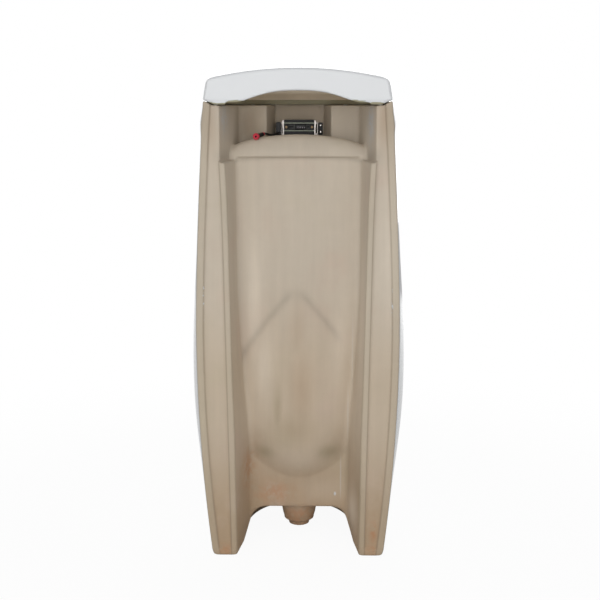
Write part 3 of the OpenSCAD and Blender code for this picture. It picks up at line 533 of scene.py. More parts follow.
    @staticmethod
    def read(piece: Piece, name: str) -> Ring:
        """The place ("co") or the normal ("normal") of each point of a mesh."""
        found = np.empty(len(piece.data.vertices) * 3)
        piece.data.vertices.foreach_get(name, found)
        return found.reshape(-1, 3)

    @classmethod
    def points(cls, piece: Piece) -> Ring:
        """The points of a mesh, in millimetres."""
        return cls.read(piece, "co") / MM

    @staticmethod
    def place(piece: Piece, points: Ring) -> None:
        """Moves the points of a mesh, given in millimetres."""
        piece.data.vertices.foreach_set("co", (points * MM).reshape(-1))
        piece.data.update()

    @staticmethod
    def store(piece: Piece, name: str, values: np.ndarray) -> None:
        """Stores a value for each point."""
        layer = piece.data.attributes.new(name, "FLOAT", "POINT")
        layer.data.foreach_set("value", np.clip(values, 0, 1).astype(np.float32))

    @classmethod
    def local_smooth(cls, piece: Piece, weight: np.ndarray, rounds: int) -> None:
        """Smooths a mesh most where its weight is high.

        Args:
            piece: object to change.
            weight: share for each point.
            rounds: rounds of smoothing.
        """
        group = piece.vertex_groups.new(name="soft")
        for level in np.linspace(0.25, 1, 4):
            chosen = np.flatnonzero((weight > level - 0.125) & (weight <= level + 0.125))
            group.add(chosen.tolist(), float(level), "REPLACE")
        cls.finish(piece, "SMOOTH", factor=0.5, iterations=rounds, vertex_group="soft")
        piece.vertex_groups.clear()


def columns(*parts: object) -> np.ndarray:
    """Points from their columns, where a single number fills its column."""
    return np.stack(np.broadcast_arrays(*parts), axis=1)


def turned(profile: Sequence[Pair], axis: Pair, steps: int = 96) -> list[Ring]:
    """Rings of a form turned round an upright axis.

    Args:
        profile: radius and height pairs, from one pole to the other.
        axis: X and Y of the axis.
        steps: sides of the form.

    Returns:
        One ring for each pair.
    """
    angle = np.linspace(0, 2 * np.pi, steps, endpoint=False)
    x, y = np.cos(angle), np.sin(angle)
    return [columns(axis[0] + r * x, axis[1] + r * y, z) for r, z in profile]


def mirrored(side: np.ndarray) -> np.ndarray:
    """The right side of an outline, followed by its mirror image backwards."""
    return np.concatenate([side, side[::-1] * (-1, 1)])


def rounded(width: float, height: float, radius: float) -> np.ndarray:
    """Outline of a rounded rectangle about the origin, as points of two values."""
    angle = np.radians(np.linspace(0, 90, 8))
    corner = radius * columns(np.cos(angle), np.sin(angle))
    half = mirrored(corner + (width / 2 - radius, height / 2 - radius))
    return np.concatenate([half, -half])


def spline(knots: Sequence[Sequence[float]], steps: int) -> np.ndarray:
    """Smooth curve through knots.

    Args:
        knots: points of any number of values.
        steps: steps between two knots.

    Returns:
        The points of the curve.
    """
    p = np.array(knots, dtype=float)
    p = np.concatenate([[2 * p[0] - p[1]], p, [2 * p[-1] - p[-2]]])
    t = np.linspace(0, 1, steps, endpoint=False)[:, None]
    spans = []
    for a, b, c, d in zip(p, p[1:], p[2:], p[3:]):
        square, cube = 2 * a - 5 * b + 4 * c - d, 3 * b - a - 3 * c + d
        spans.append(0.5 * (2 * b + (c - a) * t + square * t**2 + cube * t**3))
    return np.concatenate([*spans, p[-2:-1]])


# ---- form of the china -------------------------------------------------------


def ease(share: object) -> object:
    """Smooth step from 0 to 1."""
    kept = np.clip(share, 0, 1)
    return kept * kept * (3 - 2 * kept)


def blend(one: object, other: object, share: object) -> object:
    """Straight blend of two values."""
    return one + (other - one) * share


@dataclass(frozen=True)
class ChinaForm:
    """Sizes and outlines of the china; depth counts from the wall."""

    body_top: float = 936
    depth: float = 385
    rear_w: float = 411
    foot_w: float = 354
    head_w: float = 370
    belly_z: float = 470
    belly_flare: float = 17.5
    foot_depth: float = 338
    head_depth: float = 224
    head_z: float = 850
    lip_z: float = 340
    wall: float = 10
    edge_r: float = 4
    sole_r: float = 6
    chamber_r: float = 12
    plan_power: float = 2.3
    leg_gap: float = 254
    gap_slope: float = 0.018
    gap_z: float = 640
    gap_run: float = 181
    gap_spread: float = 3
    gap_power: float = 2.2
    panel_low_d: float = 105
    panel_top_d: float = 68
    arch_z: float = 71
    shelf_z: float = 824
    bulge_top_z: float = 545
    bulge_low_z: float = 137
    bulge_r: float = 330
    bulge_full: float = 45
    bulge_run: float = 198
    bulge_x: float = 5
    fillet_len: float = 11
    channel_deep: float = 5
    outer_rim: float = 15
    inner_rim: float = 11
    chamber_w: float = 311
    chamber_d: float = 130
    chamber_front_w: float = 252
    chamber_floor: float = 815
    vault_z: float = 869
    crest_d: float = 90
    niche_w: float = 133
    niche_back_w: float = 104
    niche_wall: float = 18
    rebate: float = 9
    raised_edge: float = 17
    bowl_floor: float = 150
    bowl_top: float = 797
    bowl_mid: float = 0.42
    mouth_half: float = 170
    mouth_top: float = 776
    rim_r: float = 11
    drain_d: float = 147
    spigot_r: float = 22.5
    waterway_r: float = 17.5
    spigot_end: float = 19
    collar_r: float = 41
    seat_r: float = 31
    seat_deep: float = 6
    valve_d: float = 166
    stem_hole_r: float = 12
    sensor_z: float = 878
    nose_w: float = 46
    nose_h: float = 28
    out: float = 40

    @property
    def seat_z(self) -> float:
        """Height of the seat of the lid."""
        return self.body_top - self.rebate

    @property
    def under_top(self) -> float:
        """Height of the space under the bowl."""
        return self.bowl_floor - 14

    @property
    def niche_back_d(self) -> float:
        """Depth of the back of the sensor niche."""
        return self.head_depth - self.niche_wall

    def y(self, depth: object) -> object:
        """Y of a depth from the wall, and also the depth of a Y."""
        return self.depth / 2 - depth

    def ring(self, half: np.ndarray, z: object) -> Ring:
        """Mirrors the right half of an outline into a ring at height z."""
        mirror = half[::-1] * (-1, 1)
        if abs(half[-1][0]) < 1e-6:
            mirror = mirror[1:]
        if abs(half[0][0]) < 1e-6:
            mirror = mirror[:-1]
        whole = np.concatenate([half, mirror])
        return columns(whole[:, 0], self.y(whole[:, 1]), z)

    def placed(self, rows: np.ndarray) -> Ring:
        """Points from rows of X, depth and Z."""
        return columns(rows[:, 0], self.y(rows[:, 1]), rows[:, 2])

    def prism(self, name: str, outline: np.ndarray, near: float, far: float) -> Piece:
        """Solid of an outline in X and Z, from a near depth to a far one."""
        x, z = outline[:, 0], outline[:, 1]
        return Bench.loft(name, [columns(x, self.y(depth), z) for depth in (near, far)])

    def top_ring(self, inset: float, z: float, rear_inset: float | None = None) -> Ring:
        """Plan outline of the body's top, drawn in by inset and laid at height z."""
        return self.ring(self.body_half(self.body_top, inset, rear_inset), z)

    def rear_half(self, z: object) -> object:
        """Half width at the wall."""
        drop = np.maximum(0, self.belly_z - z) / self.belly_z
        rise = np.maximum(0, z - self.belly_z) / (self.body_top - self.belly_z)
        low = self.rear_w / 2 - (self.rear_w - self.foot_w) / 2 * drop**2
        return low - (self.rear_w - self.head_w) / 2 * rise**1.5

    def flare(self, z: object) -> object:
        """Swell of the side in front of the wing edge."""
        dz = z - self.belly_z + 140
        run = np.where(dz < 0, 215, 330)
        top = (z - self.body_top + 43) / 20
        return self.belly_flare * np.exp(-((dz / run) ** 2)) + 3 * np.exp(-(top**2))

    def turn_d(self, z: object) -> object:
        """Depth at which the side turns toward the front."""
        return blend(110, self.edge_r + 4, ease((z - self.belly_z - 90) / 330))

    def front_d(self, z: object) -> object:
        """Depth of the front on the middle line."""
        low = blend(self.foot_depth, self.depth, ease(z / self.lip_z))
        share = ease((z - self.lip_z) / (self.head_z - self.lip_z))
        return np.where(z < self.lip_z, low, blend(self.depth, self.head_depth, share))

    def body_half(self, z: float, inset: float = 0, rear_inset: float | None = None) -> np.ndarray:
        """Right half of the plan outline.

        Args:
            z: height of the outline.
            inset: how far the sides and the front are drawn in.
            rear_inset: how far the rear is drawn in, or None for the same.

        Returns:
            Points of X and depth, from the middle of the front to the rear corner.
        """
        back = inset if rear_inset is None else rear_inset
        w = float(self.rear_half(z)) - inset
        flare = float(self.flare(z))
        d0 = float(self.turn_d(z))
        reach = float(self.front_d(z)) - inset - d0
        e = 2 / self.plan_power
        a = np.radians(np.linspace(90, 0, 60)[:-1])
        front = columns((w + flare) * np.cos(a) ** e, d0 + reach * np.sin(a) ** e)
        front[0, 0] = 0
        rim = back + self.edge_r
        d = blend(rim, max(d0, rim + 1), np.linspace(1, 0.04, 22))
        side = columns(w + flare * np.sin(np.pi / 2 * np.minimum(1, d / d0)), d)
        b = np.radians(np.linspace(0, 90, 6))
        x = w - self.edge_r * (1 - np.cos(b))
        corner = columns(x, rim - self.edge_r * np.sin(b))
        return np.concatenate([front, side, corner])

    def gap_half(self, z: float) -> float:
        """Half width between the wings at the wall."""
        over = max(0.0, z - self.gap_z) / self.gap_run
        return self.leg_gap / 2 + self.gap_slope * z + self.gap_spread * over**self.gap_power

    def panel_d(self, z: object) -> object:
        """Depth of the back panel."""
        share = (z - self.arch_z) / (self.shelf_z - self.arch_z)
        return blend(self.panel_low_d, self.panel_top_d, share) - self.panel_lip(z)

    def panel_lip(self, z: object) -> object:
        """How far the lower edge of the panel turns toward the wall."""
        return 7 * ease((122 - z) / 50)

    def panel_half(self, z: float) -> float:
        """Half width of the back panel."""
        low = 12 * ease(1 - z / self.arch_z)
        return self.leg_gap / 2 - 25 + 24 * ease((z - 120) / 470) + low

    def ridge(self, z: object) -> object:
        """Height of the ridge of the bulge over the back panel."""
        drop = np.maximum(0, self.bulge_top_z - z)
        return self.bulge_full * (1 - np.exp(-((drop / self.bulge_run) ** 1.965)))

    def edge_rise(self, x: object) -> object:
        """Rise of the lower edge of the bulge away from the middle."""
        return 42 * (np.minimum(np.abs(x), 100) / 91) ** 2

    def bulge(self, x: object, z: object) -> object:
        """Height of the bulge over the back panel."""
        rise = np.clip((z - self.bulge_low_z - self.edge_rise(x)) / 98, 0, 1)
        over = self.ridge(z) - (x - self.bulge_x) ** 2 / (2 * self.bulge_r)
        soft = (over + np.sqrt(over * over + 1.2**2)) / 2
        return np.where(z >= self.bulge_top_z, 0, soft * np.sin(np.pi / 2 * rise**1.15))

    def recess_half(self, z: float) -> np.ndarray:
        """Right half of the recess outline."""
        wg, wp, dp = self.gap_half(z), self.panel_half(z), float(self.panel_d(z))
        slope = math.hypot(wg - wp, dp)
        f = self.fillet_len + 8 * ease(1 - (z - 60) / 300)
        t1 = np.array([wp + (wg - wp) * f / slope, dp - dp * f / slope])
        t2 = np.array([wp - f, dp])
        crease = math.sqrt(2 * self.bulge_r * float(self.ridge(z)))
        edge = max(0.3 * t2[0], min(0.9 * t2[0], crease))
        across = np.concatenate([np.linspace(0, edge, 26), np.linspace(edge, t2[0], 12)[1:-1]])
        panel = columns(across, dp)
        s = np.linspace(0, 1, 22)[:, None]
        fillet = (1 - s) ** 2 * t2 + 2 * s * (1 - s) * np.array([wp, dp]) + s * s * t1
        tail = np.array([[blend(wg, t1[0], 0.5), t1[1] / 2], [wg, 0], [wg, -self.out]])
        return np.concatenate([panel, fillet, tail])

    def follow(self, z: float) -> float:
        """How far a ring of the recess follows the lower edge of the bulge."""
        if z < self.bulge_low_z:
            return ease((z - 108) / (self.bulge_low_z - 108))
        return ease(1 - (z - self.bulge_low_z - 62) / 180)

    def recess_ring(self, z: float) -> Ring:
        """Ring of the recess, pressed in by the bulge."""
        flat = self.ring(self.recess_half(z), z)
        x, d = flat[:, 0], self.y(flat[:, 1])
        h = z + self.follow(z) * self.edge_rise(x)
        share = np.maximum(0, d) / self.panel_d(z)
        return columns(x, self.y(d - self.bulge(x, h) * share), h)

    def under_half(self, z: float, inset: float = 0) -> np.ndarray:
        """Right half of the outline of the space under the bowl."""
        w = self.leg_gap / 2 - 9 - inset - 4 * z / self.under_top
        far = self.foot_depth - 16 - inset - 10 * z / self.under_top
        a = np.radians(np.linspace(90, 0, 40))
        arc = columns(w * np.cos(a) ** 0.8, 120 + (far - 120) * np.sin(a) ** 0.8)
        arc[0, 0] = 0
        rear = min(self.panel_low_d + self.wall + inset, 118)
        return np.concatenate([arc, [[w, rear]]])

    def bowl_half(self, z: object) -> object:
        """Half width of the bowl."""
        u = (z - self.bowl_floor) / (self.bowl_top - self.bowl_floor)
        low = np.maximum(0, 1 - np.maximum(0, 1 - u / 0.5) ** 2.6) ** 0.55
        high = np.maximum(0, 1 - np.maximum(0, (u - 0.5) / 0.5) ** 5) ** 0.5
        return (self.mouth_half + 6) * low * high

    def bowl_rear(self, z: float) -> float:
        """Depth of the rear wall of the bowl on the middle line."""
        rise = ease((z - self.bowl_floor) / 80)
        top = 60 * ease((z - self.bowl_top + 90) / 90) ** 2
        skin = self.panel_d(z) - self.bulge(0.0, z) * rise
        return float(skin + self.wall + self.panel_lip(z) + top)

    def bowl_front(self, z: float) -> float:
        """Depth of the front wall of the bowl on the middle line."""
        share = ease((z - self.bowl_floor + 20) / 210)
        far = blend(self.drain_d + 50, self.depth - 2 * self.rim_r, share)
        return float(min(self.front_d(z) - 2 * self.rim_r, far))

    def bowl_outline(self, z: float) -> np.ndarray:
        """Right half of the outline of the bowl."""
        w = max(44, float(self.bowl_half(z)))
        near, far = self.bowl_rear(z), self.bowl_front(z)
        mid = blend(near, far, self.bowl_mid)
        a = np.radians(np.linspace(90, 0, 36))
        front = columns(w * np.cos(a) ** 0.85, mid + (far - mid) * np.sin(a) ** 0.85)
        b = np.radians(np.linspace(0, 90, 36))[1:]
        rear = columns(w * np.cos(b) ** 0.8, mid - (mid - near) * np.sin(b) ** 0.8)
        rear[:, 1] = np.maximum(rear[:, 1], np.minimum(self.back_skin(rear[:, 0], z), mid))
        front[0, 0] = rear[-1, 0] = 0
        return np.concatenate([front, rear])

    def back_skin(self, x: np.ndarray, z: float) -> np.ndarray:
        """Least depth of the rear wall of the bowl that keeps the china thick enough."""
        swell = [self.bulge(side * x, level) for side in (1, -1) for level in (z, z - 12)]
        return self.panel_d(z) + self.panel_lip(z) - np.min(swell, axis=0) + self.wall + 2

    def mouth(self, steps: int) -> np.ndarray:
        """X and Z of points round the opening of the bowl."""
        a = np.radians(np.arange(steps) * 360 / steps)
        low = self.lip_z + 14
        mid = (low + self.mouth_top) / 2
        sine, cosine = np.sin(a), np.cos(a)
        spread = np.where(sine < 0, np.abs(cosine) ** 0.86, np.abs(cosine) ** 0.8)
        x = self.mouth_half * spread * np.sign(cosine)
        below = mid - (mid - low) * np.abs(sine) ** 0.9
        above = mid + (self.mouth_top - mid) * np.abs(sine) ** 0.8
        z = np.where(sine < 0, below, above)
        return columns(x, z)

    def skin_d(self, x: object, z: object) -> object:
        """Depth of the outer form at a place on the front."""
        w = self.rear_half(z) + self.flare(z)
        d0 = self.turn_d(z)
        inner = np.maximum(0, 1 - (np.abs(x) / w) ** self.plan_power)
        return d0 + (self.front_d(z) - d0) * inner ** (1 / self.plan_power)

    def vault_foot(self, x: object) -> object:
        """Height of the foot of the vault across its width."""
        return self.shelf_z - 9 * np.abs(x / 150) ** 3

    def crest_z(self, x: object) -> object:
        """Crown height of the vault across its width."""
        return self.vault_z - 17 * (x / 131) ** 2 - 5 * (x / 133) ** 6

    def depth_in_skin(self, x: np.ndarray, d: np.ndarray, z: np.ndarray) -> np.ndarray:
        """How far points lie below the outer skin, measured level with the floor."""
        w, flare, d0 = self.rear_half(z), self.flare(z), self.turn_d(z)
        side = w + flare * np.sin(np.pi / 2 * np.clip(d / d0, 0, 1)) - np.abs(x)
        ahead = np.maximum(0, d - d0)
        power = self.plan_power
        share = (np.abs(x) / (w + flare)) ** power
        share = (share + (ahead / (self.front_d(z) - d0)) ** power) ** (1 / power)
        front = (1 - share) * np.maximum(np.hypot(x, ahead), 60)
        return np.where(d < d0, side, front)


@dataclass(frozen=True)
class Grade:
    """How finely a piece of china is cast."""

    voxel: float
    rounds: int
    triangles: int


@dataclass(frozen=True)
class ChinaBody:
    """The cast body with its recess, chamber, bowl and drain spigot."""

    form: ChinaForm = ChinaForm()
    trial: Grade = Grade(4.0, 3, 46_666)
    full: Grade = Grade(2.1, 7, 140_000)
    level_step: float = 6
    longest_edge: float = 12
    refined_d: float = 136
    slip_hole_r: float = 8
    slip_hole_d: float = 45

    def levels(self, low: float, high: float) -> np.ndarray:
        """Evenly spaced heights between two ends."""
        return np.linspace(low, high, max(2, round((high - low) / self.level_step) + 1))

    def outer(self) -> Piece:
        """Outer form with its rounded sole."""
        f = self.form
        sole = [
            f.ring(f.body_half(0, f.sole_r * (1 - math.sin(a))), f.sole_r * (1 - math.cos(a)))
            for a in np.radians(np.linspace(0, 90, 6))
        ]
        sides = [f.ring(f.body_half(z), z) for z in self.levels(f.sole_r + 2, f.body_top - 2)]
        return Bench.loft("china_body", [*sole, *sides, f.top_ring(1, f.body_top)])

    def recess(self) -> Piece:
        """Space between the wings."""
        f = self.form
        low = [-1.0, 20, 40, 60, f.arch_z, 80, 88, 96, 104]
        levels = [*low, *self.levels(108, f.shelf_z)]
        return Bench.loft("recess", [f.recess_ring(z) for z in levels])

    def chamber(self) -> Piece:
        """Upper chamber with the sensor niche, less the vault."""
        f = self.form
        wr, wf, d, r = f.chamber_w / 2, f.chamber_front_w / 2, f.chamber_d, f.chamber_r
        a = np.radians(np.linspace(0, 90, 8))
        corner = columns(wf - r + r * np.sin(a), d - r + r * np.cos(a))
        half = np.concatenate([[[0, d]], corner, [[wr, 0], [wr, -f.out]]])
        high = f.body_top + f.out
        room = Bench.loft("chamber", [f.ring(half, f.chamber_floor), f.ring(half, high)])
        back, side = f.niche_back_w / 2, f.niche_w / 2
        niche = np.array([[0, f.niche_back_d], [back, f.niche_back_d], [side, d], [side, d - 20]])
        alcove = Bench.loft("niche", [f.ring(niche, f.chamber_floor), f.ring(niche, high)])
        Bench.work(room, alcove, operation="UNION")
        return Bench.work(room, self.vault())

    def vault(self) -> Piece:
        """Vault that closes the top of the back panel."""
        f = self.form
        half, rise, low = f.chamber_w / 2 + 5, f.panel_top_d - 6, f.chamber_floor - 15
        angle = np.radians(np.linspace(0, 90, 14)[1:])
        rings = []
        for x in np.linspace(-half, half, 61):
            top = float(f.crest_z(x))
            foot = f.vault_foot(x)
            depth = [-f.out, rise, *(f.crest_d - (f.crest_d - rise) * np.cos(angle) ** 0.8)]
            height = [foot, foot, *(foot + (top - foot) * np.sin(angle) ** 0.9)]
            depth += [f.crest_d + 5, f.crest_d + 10, f.crest_d + 15, f.crest_d + 22]
            height += [top - 1.5, top - 8, f.chamber_floor + 8, f.chamber_floor]
            depth += [f.crest_d + 22, -f.out]
            height += [low, low]
            rings.append(columns(x, f.y(np.array(depth)), height))
        return Bench.loft("vault", rings)

    def under(self) -> Piece:
        """Space under the bowl."""
        f = self.form
        rings = [f.ring(f.under_half(z), z) for z in (-1, f.under_top / 2, f.under_top - 8)]
        rings += [f.ring(f.under_half(f.under_top, 3), f.under_top - 3)]
        return Bench.loft("under", [*rings, f.ring(f.under_half(f.under_top, 8), f.under_top)])

    def leg_arch(self) -> Piece:
        """Way through below the back panel."""
        f = self.form
        foot = f.leg_gap / 2 - 9
        knee = np.array([f.leg_gap / 2 - 23, f.arch_z * 0.65])
        crown = np.array([f.leg_gap / 2 - 60, f.arch_z + 1])
        corner = np.array([f.leg_gap / 2 - 30, f.arch_z + 1])
        u = np.linspace(0, 1, 16)[:, None]
        side = (1 - u) ** 2 * knee + 2 * u * (1 - u) * corner + u * u * crown
        side = np.concatenate([[[foot + 4, -15]], side])
        near, far = f.panel_low_d - 60, f.panel_low_d + 12 + f.wall
        return f.prism("leg_arch", mirrored(side), near, far)

    def bowl(self) -> Piece:
        """Space inside the bowl."""
        f = self.form
        u = np.sin(np.radians(np.linspace(0, 90, 50))) ** 2
        heights = blend(f.bowl_floor, f.bowl_top, u)
        return Bench.loft("bowl", [f.ring(f.bowl_outline(z), z) for z in heights])

    def rim(self) -> Piece:
        """Rolled rim round the opening of the bowl."""
        f = self.form
        steps, sides = 200, 24
        flat = f.mouth(steps)
        middle = columns(flat[:, 0], f.y(f.skin_d(*flat.T) - f.rim_r), flat[:, 1])
        along = np.roll(middle, -1, axis=0) - np.roll(middle, 1, axis=0)
        along /= np.linalg.norm(along, axis=1, keepdims=True)
        out = np.array([0, 1, 0]) - along * along[:, 1:2]
        out /= np.linalg.norm(out, axis=1, keepdims=True)
        across = np.cross(along, out)
        angle = np.radians(np.arange(sides) * 360 / sides)
        rings = [middle + f.rim_r * (math.cos(b) * out + math.sin(b) * across) for b in angle]
        return Bench.loft("rim", [*rings, rings[0]])

    def mouth(self) -> Piece:
        """Way out of the bowl through the front."""
        f = self.form
        return f.prism("mouth", f.mouth(200), f.head_depth * 0.62, f.depth + 40)

    def rebate(self) -> Piece:
        """Seat that the lid drops into, open at the rear."""
        f = self.form
        rings = [
            f.top_ring(f.raised_edge, f.seat_z),
            f.top_ring(2.5, f.body_top - 0.5),
            f.top_ring(2.5, f.body_top + 5),
        ]
        room = Bench.loft("rebate", rings)
        half = f.head_w / 2
        corner = [(half - f.raised_edge, f.seat_z), (half - 2.5, f.body_top - 0.5)]
        side = np.array([*corner, (half - 2.5, f.body_top + 5)])
        way = f.prism("rebate_rear", mirrored(side), -f.out, f.raised_edge + 12)
        return Bench.work(room, way, operation="UNION")

    def channels(self) -> list[Piece]:
        """Channels in the rear faces of the wings."""
        f = self.form
        made = []
        for side in Side:
            for low, high, inner, outer in (
                (16, 822, lambda z: f.gap_half(z) + f.inner_rim, 0),
                (819, f.body_top + 1, lambda z: f.chamber_w / 2 - 6, 2),
            ):
                rings = []
                for z in self.levels(low, high):
                    a, b = inner(z), float(f.rear_half(z)) - f.outer_rim + outer
                    deep = f.channel_deep
                    half = np.array([(a, -1), (a + 3, deep), (b - 1.5, deep), (b, -1)])
                    x, y = half[:, 0] * side.value, f.y(half[:, 1])
                    rings.append(columns(x, y, z))
                made.append(Bench.loft("channel", rings))
        return made

    def spigot(self) -> Piece:
        """Drain outlet below the bowl."""
        f = self.form
        r, c, z = f.spigot_r, f.collar_r, f.spigot_end
        profile = [
            (0.01, z), (r - 2, z), (r, z + 2), (r, z + 9.5), (r + 1, z + 11), (r + 9, z + 13),
            (r + 10, z + 14.5), (r + 10, z + 20), (r + 13, z + 28), (r + 14, z + 36),
            (c - 2, z + 44), (c + 2, z + 50), (c + 2, f.under_top + 4), (0.01, f.under_top + 4),
        ]
        return Bench.loft("spigot", turned(profile, (0, f.y(f.drain_d))))

    def holes(self) -> list[Piece]:
        """Waterways, slip holes and the way of the sensor nose."""
        f = self.form
        drain, valve = f.y(f.drain_d), f.y(f.valve_d)
        made = [
            Bench.rod(radius, (0, y, low), (0, y, high))
            for radius, y, low, high in (
                (f.waterway_r, drain, f.spigot_end - 1, f.bowl_floor + 20),
                (f.seat_r, drain, f.bowl_floor - f.seat_deep, f.bowl_floor + 24),
                (f.stem_hole_r, valve, f.bowl_top - 5, f.chamber_floor + 5),
            )
        ]
        for side in Side:
            x = side.value * (f.foot_w + f.leg_gap) / 4
            y = f.y(self.slip_hole_d)
            made.append(Bench.rod(self.slip_hole_r, (x, y, -1), (x, y, 19)))
        for grow, radius, near in ((0, 6, f.niche_back_d - 2), (14, 9, f.head_depth - 2.5)):
            outline = rounded(f.nose_w + grow, f.nose_h + grow, radius) + (0, f.sensor_z)
            made.append(f.prism("nose_way", outline, near, f.depth))
        return made

    def build(self) -> Piece:
        """Casts the body.

        Returns:
            The finished mesh with the values that its finish reads.
        """
        grade = self.full
        body = self.outer()
        Bench.work(body, self.recess(), self.chamber(), self.under(), self.leg_arch())
        Bench.work(body, self.bowl(), self.mouth(), self.rebate())
        Bench.work(body, self.rim(), operation="UNION")
        Bench.work(body, *self.channels())
        Bench.work(body, self.spigot(), operation="UNION")
        Bench.work(body, *self.holes())
        Bench.cast(body, grade.voxel, grade.rounds)
        self.soften(body, 4 * grade.rounds)
        self.press(body)
        Bench.thin(body, grade.triangles)
        Bench.refine(body, self.longest_edge, self.form.y(self.refined_d))
        Bench.finish(body, "SMOOTH", factor=0.35, iterations=2)
        self.mark(body)
        Bench.smooth(body)
        return body

    def soften(self, body: Piece, rounds: int) -> None:
        """Rounds the edges of the arch and the soles as a sponge does."""
        f = self.form
        x, y, z = Bench.points(body).T
        d = f.y(y)
        arch = ease((26 - np.abs(z - f.arch_z)) / 12) * ease((f.panel_low_d + 4 - d) / 8) * (d > 60)
        soles = ease((16 - z) / 8)
        Bench.local_smooth(body, np.maximum(arch, soles), rounds)
        settled = Bench.points(body)
        settled[:, 2] = np.maximum(0, settled[:, 2])
        Bench.place(body, settled)

    def crease(self, x: np.ndarray, d: np.ndarray, z: np.ndarray) -> np.ndarray:
        """Soft groove on the panel side of the edges of the bulge, from 0 to 1, pressed into the
        skin and also painted as shade.
        """
        f = self.form
        side = x - f.bulge_x
        over = f.ridge(z) - side * side / (2 * f.bulge_r)
        slope = (f.ridge(z - 2) - f.ridge(z + 2)) / 4
        away = over / np.hypot(side / f.bulge_r, slope + 0.02)
        near = np.exp(-(((away + 5) / 7) ** 2))
        foot = np.where(x < 0, 415, 330)
        return near * self.on_panel(x, d, z) * ease((z - foot) / 60) * ease((560 - z) / 30)

    def fold(self, x: np.ndarray, d: np.ndarray, z: np.ndarray) -> np.ndarray:
        """Soft groove where the vault leaves the panel, from 0 to 1, pressed into the skin and also
        painted as shade.
        """
        f = self.form
        near = np.exp(-(((z - f.vault_foot(x) + 2) / 4.5) ** 2))
        return near * (np.abs(d - f.panel_top_d) < 10) * ease((f.chamber_w / 2 + 2 - np.abs(x)) / 6)

    def on_panel(self, x: np.ndarray, d: np.ndarray, z: np.ndarray) -> np.ndarray:
        """1 on the back panel and its bulge and 0 elsewhere."""
        away = np.abs(d - self.form.panel_d(z) + self.form.bulge(x, z))
        return ease((9 - away) / 4)

    def press(self, body: Piece) -> None:
        """Presses the valleys beside the bulge and under the vault into the skin."""
        points = Bench.points(body)
        x, y, z = points.T
        d = self.form.y(y)
        points[:, 1] -= 1.3 * self.crease(x, d, z) + 1.2 * self.fold(x, d, z)
        Bench.place(body, points)

    def mark(self, body: Piece) -> None:
        """Stores where the skin is outside or bare, its stains and patches of painted light, and
        the painted shade of its creases.
        """
        f = self.form
        x, y, z = Bench.points(body).T
        d = f.y(y)
        outer = ease((6 - f.depth_in_skin(x, d, z)) / 2)
        panel = f.panel_d(z) - f.bulge(x, z) + 4
        to_rear = Bench.read(body, "normal")[:, 1] > 0.1
        recess = (d < panel) | (to_rear & (d < panel + 24) & (outer < 0.5))
        bare = recess | (z > 806) | (z < f.under_top + 7)
        # Painted shade in the corners where the ends of the vault meet the wing walls.
        corner = np.exp(-(((np.abs(x) - 147) / 16) ** 2) - ((z - f.shelf_z - 4) / 13) ** 2)
        crease_shade = 0.85 * self.crease(x, d, z) + 0.9 * self.fold(x, d, z) + corner
        Bench.store(body, "outer", outer)
        Bench.store(body, "bare", bare.astype(float))
        Bench.store(body, "crease_shade", crease_shade)
        for kind, rows in STAINS_AND_PAINTED_LIGHT.items():
            mark = np.zeros(len(x))
            for row in rows:
                mark = np.maximum(mark, Spot(*row).at(x, d, z))
            Bench.store(body, kind.value, mark)


class Mark(Enum):
    """Names of the marks stored on the body: rust, brown and spray are stains of the firing, pale
    is painted light, olive is a greenish tint with some painted shade, and dull darkens patches.
    """

    RUST = "rust"
    BROWN = "brown"
    OLIVE_AND_SHADE = "olive"
    PAINTED_LIGHT = "pale"
    DULL = "dull"
    SPRAY = "spray"


@dataclass(frozen=True)
class Spot:
    """Soft blot about a point, in millimetres."""

    x: float
    depth: float
    z: float
    wide: float
    high: float
    strength: float
    deep: float = 30

    def at(self, x: np.ndarray, d: np.ndarray, z: np.ndarray) -> np.ndarray:
        """Strength of the blot at points."""
        far = ((x - self.x) / self.wide) ** 2 + ((z - self.z) / self.high) ** 2
        return self.strength * np.exp(-far - ((d - self.depth) / self.deep) ** 2)


